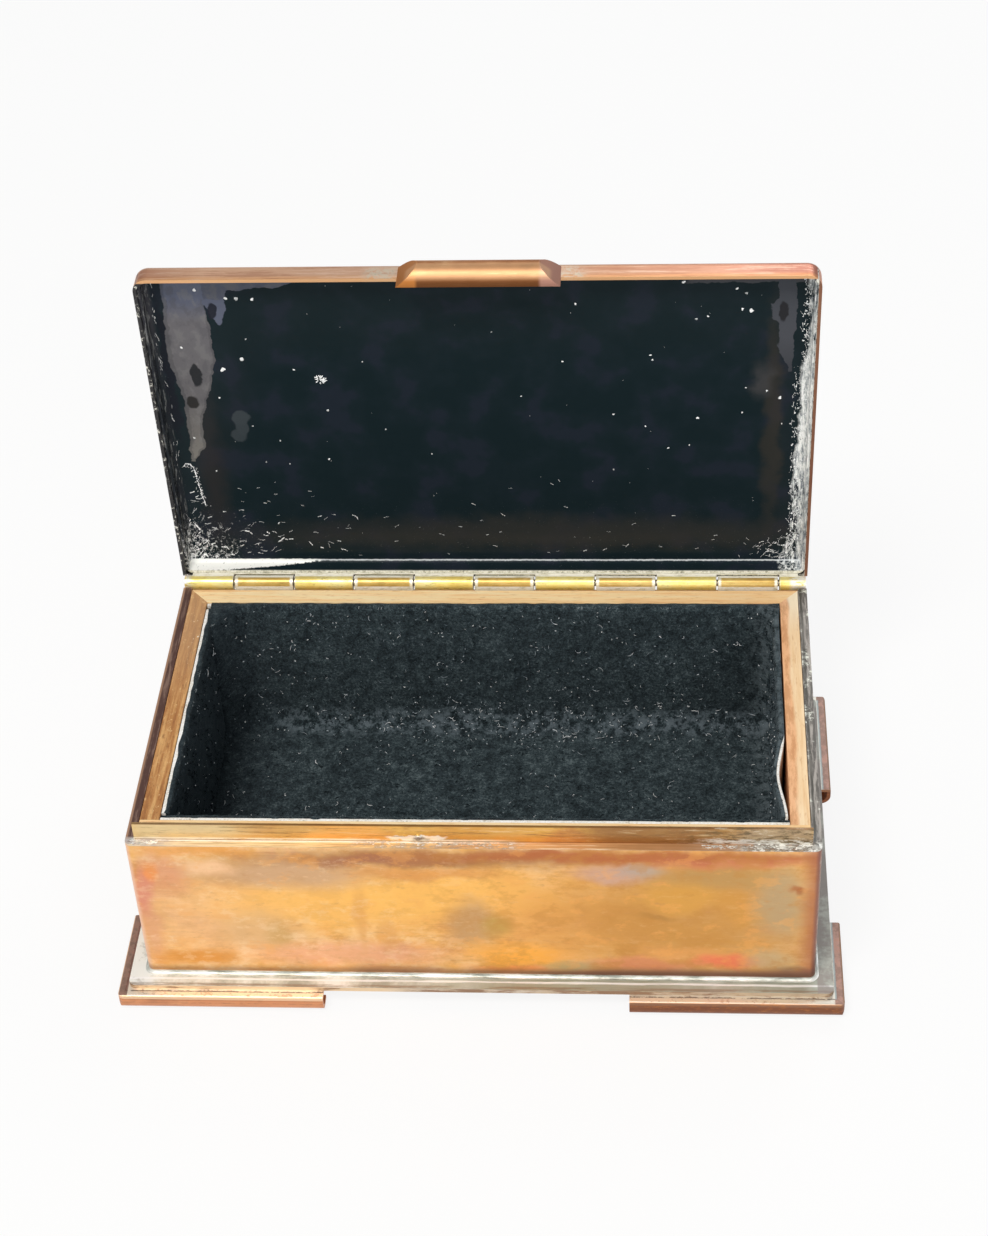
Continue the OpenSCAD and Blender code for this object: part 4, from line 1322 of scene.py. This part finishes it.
def fibre_piece(name, fibres):
    """One mesh of many fibres, riding on the tray."""
    corners, faces = [], []
    for points, radius in fibres:
        new_corners, new_faces = fibre(points, radius)
        faces += [tuple(i + len(corners) for i in face) for face in new_faces]
        corners += new_corners
    mesh_piece(name, corners, faces, "tray")


def speckled(name, piece, scale, stops, shadow=None, **constants):
    """A finish whose shade changes from fibre to fibre. shadow darkens the left of it."""
    finish = Finish(name, **constants)
    grain = finish.node("ShaderNodeTexNoise", {}, Vector=finish.place, Scale=scale)
    colour = ramp(grain, *stops)
    if shadow:
        colour = blend(edge(finish.x, -44, -68) * 0.6, colour, shadow)
    finish.feed(Base_Color=colour)
    finish.dress(piece)


def curl(start, way, out, length, bend):
    """Five points of a fibre that lies along way, bends a little and lifts by out."""
    points = []
    turn = dice.uniform(-bend, bend)
    at, heading = start.copy(), way.normalized()
    for i in range(5):
        points.append(at + out * (0.12 * math.sin(math.pi * i / 4) + 0.03))
        heading = Matrix.Rotation(turn, 3, out) @ heading
        at = at + heading * length / 4
    return points


UP, FORWARD, RIGHTWARD = Vector((0, 0, 1)), Vector((0, -1, 0)), Vector((1, 0, 0))
FACES = {
    # how to lay a point on the face, where the face looks, its length
    "floor": (on_floor, UP, WIDE), "front": (on_front, -FORWARD, WIDE),
    "back": (on_back, FORWARD, WIDE), "left": (on_left, RIGHTWARD, DEEP),
    "right": (on_right, -RIGHTWARD, DEEP),
}


LINT_HEIGHT = 1.05


def any_way(out=None, reach=1):
    """A random direction, along the face that looks towards out if one is given."""
    way = Vector([dice.uniform(-reach, reach) for _ in range(3)])
    if out is not None:
        way -= way.dot(out) * out
    return way

# %% Lint
lint = []
for n in range(1250):
    face = dice.choices(["floor", "back", "right", "left"], [9, 9, 2, 1])[0]
    place, out, across = FACES[face]
    up = 71 if face == "floor" else HIGH - 1
    s, t = dice.uniform(2, across - 2), dice.uniform(1.5, up)
    if dice.random() < 0.35 and face in ("floor", "back"):
        s = min(across - 3, max(3, dice.gauss(across * 0.55, across * 0.22)))
        t = abs(dice.gauss(0, 3)) + 1.5 if face == "back" else 71 - abs(dice.gauss(0, 4))
    start, way = Vector(place(s, t, LINT_HEIGHT)), any_way(out)
    length = dice.choice([0.2, 0.25, 0.3, 0.35, 0.4, 0.5, 0.7, 1.0, 1.8])
    lint.append((curl(start, way, out, length, 0.7),
                 dice.uniform(0.03, 0.07 if length > 0.6 else 0.13)))
fibre_piece("lint", lint)
speckled("grey_lint", "lint", 260.0, [(0.38, "#69757d"), (0.46, "#c9d4dd"), (0.53, "#fbfdff")],
         Roughness=0.8)
print(len(lint), "fibres of lint")

# %% [markdown]
# The pile isn't smooth: it stands in tufts, and it frays where the card's top edge cuts it.

# %% Tufts of the pile
tufts = []
for n in range(6500):
    face = dice.choices(["floor", "back", "right", "left"], [10, 10, 3, 4])[0]
    place, out, across = FACES[face]
    s, t = dice.uniform(1, across - 1), dice.uniform(0.6, 72 if face == "floor" else HIGH - 0.2)
    if uneven(s, t, 0, 5, 4) + 0.5 * uneven(s, t, 0, 2, 9) < dice.uniform(-0.5, 0.3):
        continue
    start, way = Vector(place(s, t, LINT_HEIGHT)), any_way(out).normalized()
    length = dice.uniform(0.5, 1.3)
    tufts.append(([start - 0.15 * out, start + 0.25 * out + 0.4 * length * way,
                   start + 0.1 * out + length * way], dice.uniform(0.08, 0.16)))
fibre_piece("velvet_tufts", tufts)
speckled("velvet_tuft_fibres", "velvet_tufts", 340.0,
         [(0.4, "#1a2226"), (0.5, "#2f3a3f"), (0.6, "#4b575d"), (0.7, "#6b777d")], "#10161c",
         Roughness=0.95, Specular_IOR_Level=0.1)
print(len(tufts), "tufts")

# %% The frayed edge of the pile
fringe = []
for n in range(3000):
    face = dice.choices(["front", "back", "left", "right"], [12, 10, 10, 5])[0]
    place, out, across = FACES[face]
    s = dice.uniform(0.5, across - 0.5)
    at = Vector(place(s, HIGH - 0.3, dice.uniform(0.3, 1.0)))
    lean = Vector((dice.uniform(-0.6, 0.6), dice.uniform(-0.6, 0.6), dice.uniform(0.3, 1.0)))
    lean -= out * dice.uniform(0.2, 1.2)
    points, heading = [], lean.normalized()
    for i in range(4):
        points.append(at.copy())
        at = at + heading * dice.uniform(0.12, 0.3)
        heading = (heading + any_way(reach=0.35)).normalized()
    fringe.append((points, dice.uniform(0.03, 0.08)))
fibre_piece("velvet_fringe", fringe)
speckled("fringe_fibres", "velvet_fringe", 300.0,
         [(0.4, "#101618"), (0.56, "#2b3337"), (0.66, "#99a1a3")], Roughness=0.9)
print(len(fringe), "fibres along the edges")

# %% [markdown]
# ## The size
#
# The dressed box keeps the CAD model's size. Both boxes are printed.

# %% Finish
size = {"cad": cad_box, "visual": [list(corner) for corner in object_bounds()]}
print(size)
